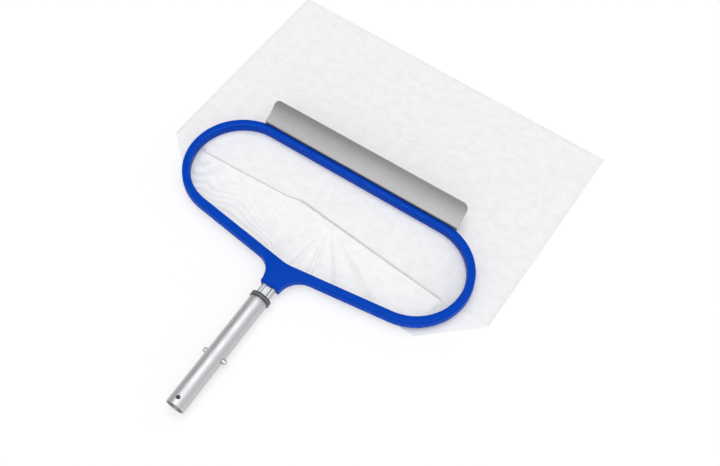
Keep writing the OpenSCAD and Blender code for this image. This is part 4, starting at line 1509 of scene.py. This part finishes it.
def studio_floor(colours):
    """Matt white board: even, with a barely visible tooth. Seen directly, in metal or through glass,
    a little over half of it is plain white, so that its shadows are soft and pale."""
    material, tree = start_material("matt_white_floor")
    place = object_place(tree)
    tooth = noise(tree, place, 40, 2)
    base = varied(tree, tooth, colours.floor, 0.995, 1.0)
    board = add(
        tree, "ShaderNodeBsdfPrincipled", {"Base Color": base, "Roughness": 0.9, "Specular IOR Level": 0.0}
    )
    white = add(tree, "ShaderNodeEmission", {"Color": (1, 1, 1, 1), "Strength": 1.0})
    path = add(tree, "ShaderNodeLightPath").outputs
    seen = worked(tree, "MAXIMUM", path["Is Camera Ray"], path["Is Glossy Ray"])
    seen = worked(tree, "MAXIMUM", seen, path["Is Transmission Ray"])
    share = worked(tree, "MULTIPLY", seen, 0.55)
    mixed = add(tree, "ShaderNodeMixShader", {0: share, 1: board.outputs[0], 2: white.outputs[0]})
    add(tree, "ShaderNodeOutputMaterial", {"Surface": mixed.outputs[0]})
    return material


# ---------------------------------------------------------------------------------------------
# Operators and panel

MAKERS = {
    "frame": moulded_polypropylene,
    "blade": soft_vinyl,
    "aluminium": drawn_aluminium,
    "plug": moulded_nylon,
    "ring": ring_rubber,
    "button": plated_nickel,
    "steel": stainless_steel,
    "cord": braided_cord,
    "floor": studio_floor,
}
CLOTHS = {"mesh": polyester_mesh, "hem": hem_cloth}


class Materials(dict):
    """The materials by key, each made when it is first asked for and then shared."""

    def __init__(self, scene, plan):
        super().__init__()
        self.colours, self.plan = scene.skimmer_colours, plan

    def __missing__(self, key):
        stored = next((m for m in bpy.data.materials if m.get("skimmer") == key), None)
        if stored is None:
            stored = CLOTHS[key](self.colours, self.plan) if key in CLOTHS else MAKERS[key](self.colours)
            stored["skimmer"] = key
        self[key] = stored
        return stored


def run_steps(context, *steps):
    """Works out the plan once and runs the given building steps."""
    plan = Plan(context.scene)
    materials = Materials(context.scene, plan)
    for step in steps:
        step(plan, materials)
    return {"FINISHED"}


class SKIMMER_OT_frame(bpy.types.Operator):
    """Builds the blue frame moulding"""

    bl_idname = "skimmer.frame"
    bl_label = "Frame"

    def execute(self, context):
        return run_steps(context, build_frame)


class SKIMMER_OT_scraper(bpy.types.Operator):
    """Builds the scraper blade and its rivets"""

    bl_idname = "skimmer.scraper"
    bl_label = "Scraper"

    def execute(self, context):
        return run_steps(context, build_scraper)


class SKIMMER_OT_hem(bpy.types.Operator):
    """Builds the bead cord, the hem and the lock strips"""

    bl_idname = "skimmer.hem"
    bl_label = "Hem and lock strips"

    def execute(self, context):
        return run_steps(context, build_hem, build_lock_strips)


class SKIMMER_OT_bag(bpy.types.Operator):
    """Builds the bag's panels and seams"""

    bl_idname = "skimmer.bag"
    bl_label = "Bag"

    def execute(self, context):
        return run_steps(context, build_bag)


class SKIMMER_OT_handle(bpy.types.Operator):
    """Builds the stem, plug, ring, tube and their screws"""

    bl_idname = "skimmer.handle"
    bl_label = "Handle"

    def execute(self, context):
        return run_steps(context, build_stem, build_plug, build_tube)


class SKIMMER_OT_buttons(bpy.types.Operator):
    """Builds the snap buttons and their spring"""

    bl_idname = "skimmer.buttons"
    bl_label = "Buttons and spring"

    def execute(self, context):
        return run_steps(context, build_buttons, build_spring)


class SKIMMER_OT_studio(bpy.types.Operator):
    """Builds the floor, sky, lamp and camera"""

    bl_idname = "skimmer.studio"
    bl_label = "Studio"

    def execute(self, context):
        build_camera()
        build_world()
        build_lamp()
        context.scene.view_settings.view_transform = "Standard"
        return run_steps(context, build_floor)


OPERATORS = (
    SKIMMER_OT_frame,
    SKIMMER_OT_scraper,
    SKIMMER_OT_hem,
    SKIMMER_OT_bag,
    SKIMMER_OT_handle,
    SKIMMER_OT_buttons,
    SKIMMER_OT_studio,
)


class SKIMMER_PT_build(bpy.types.Panel):
    """Lists the sizes, the colours and the building steps."""

    bl_idname = "SKIMMER_PT_build"
    bl_label = "Leaf skimmer net"
    bl_space_type = "VIEW_3D"
    bl_region_type = "UI"
    bl_category = "Skimmer"

    def draw(self, context):
        scene = context.scene
        for title, group in (
            ("Frame", scene.skimmer_frame),
            ("Handle", scene.skimmer_handle),
            ("Bag", scene.skimmer_net),
            ("Colours", scene.skimmer_colours),
        ):
            box = self.layout.box()
            box.label(text=title)
            for name in group.__annotations__:
                box.prop(group, name)
        for operator in OPERATORS:
            self.layout.operator(operator.bl_idname)


GROUPS = {
    "skimmer_frame": SkimmerFrameSizes,
    "skimmer_handle": SkimmerHandleSizes,
    "skimmer_net": SkimmerNetSizes,
    "skimmer_colours": SkimmerColours,
}


def register():
    for name, group in GROUPS.items():
        bpy.utils.register_class(group)
        setattr(bpy.types.Scene, name, bpy.props.PointerProperty(type=group))
    for item in (*OPERATORS, SKIMMER_PT_build):
        bpy.utils.register_class(item)


def unregister():
    for item in (SKIMMER_PT_build, *reversed(OPERATORS)):
        bpy.utils.unregister_class(item)
    for name, group in GROUPS.items():
        delattr(bpy.types.Scene, name)
        bpy.utils.unregister_class(group)


def main():
    """Builds everything in order."""
    register()
    bpy.ops.skimmer.frame()
    bpy.ops.skimmer.scraper()
    bpy.ops.skimmer.hem()
    bpy.ops.skimmer.bag()
    bpy.ops.skimmer.handle()
    bpy.ops.skimmer.buttons()
    bpy.ops.skimmer.studio()


if __name__ == "__main__":
    main()
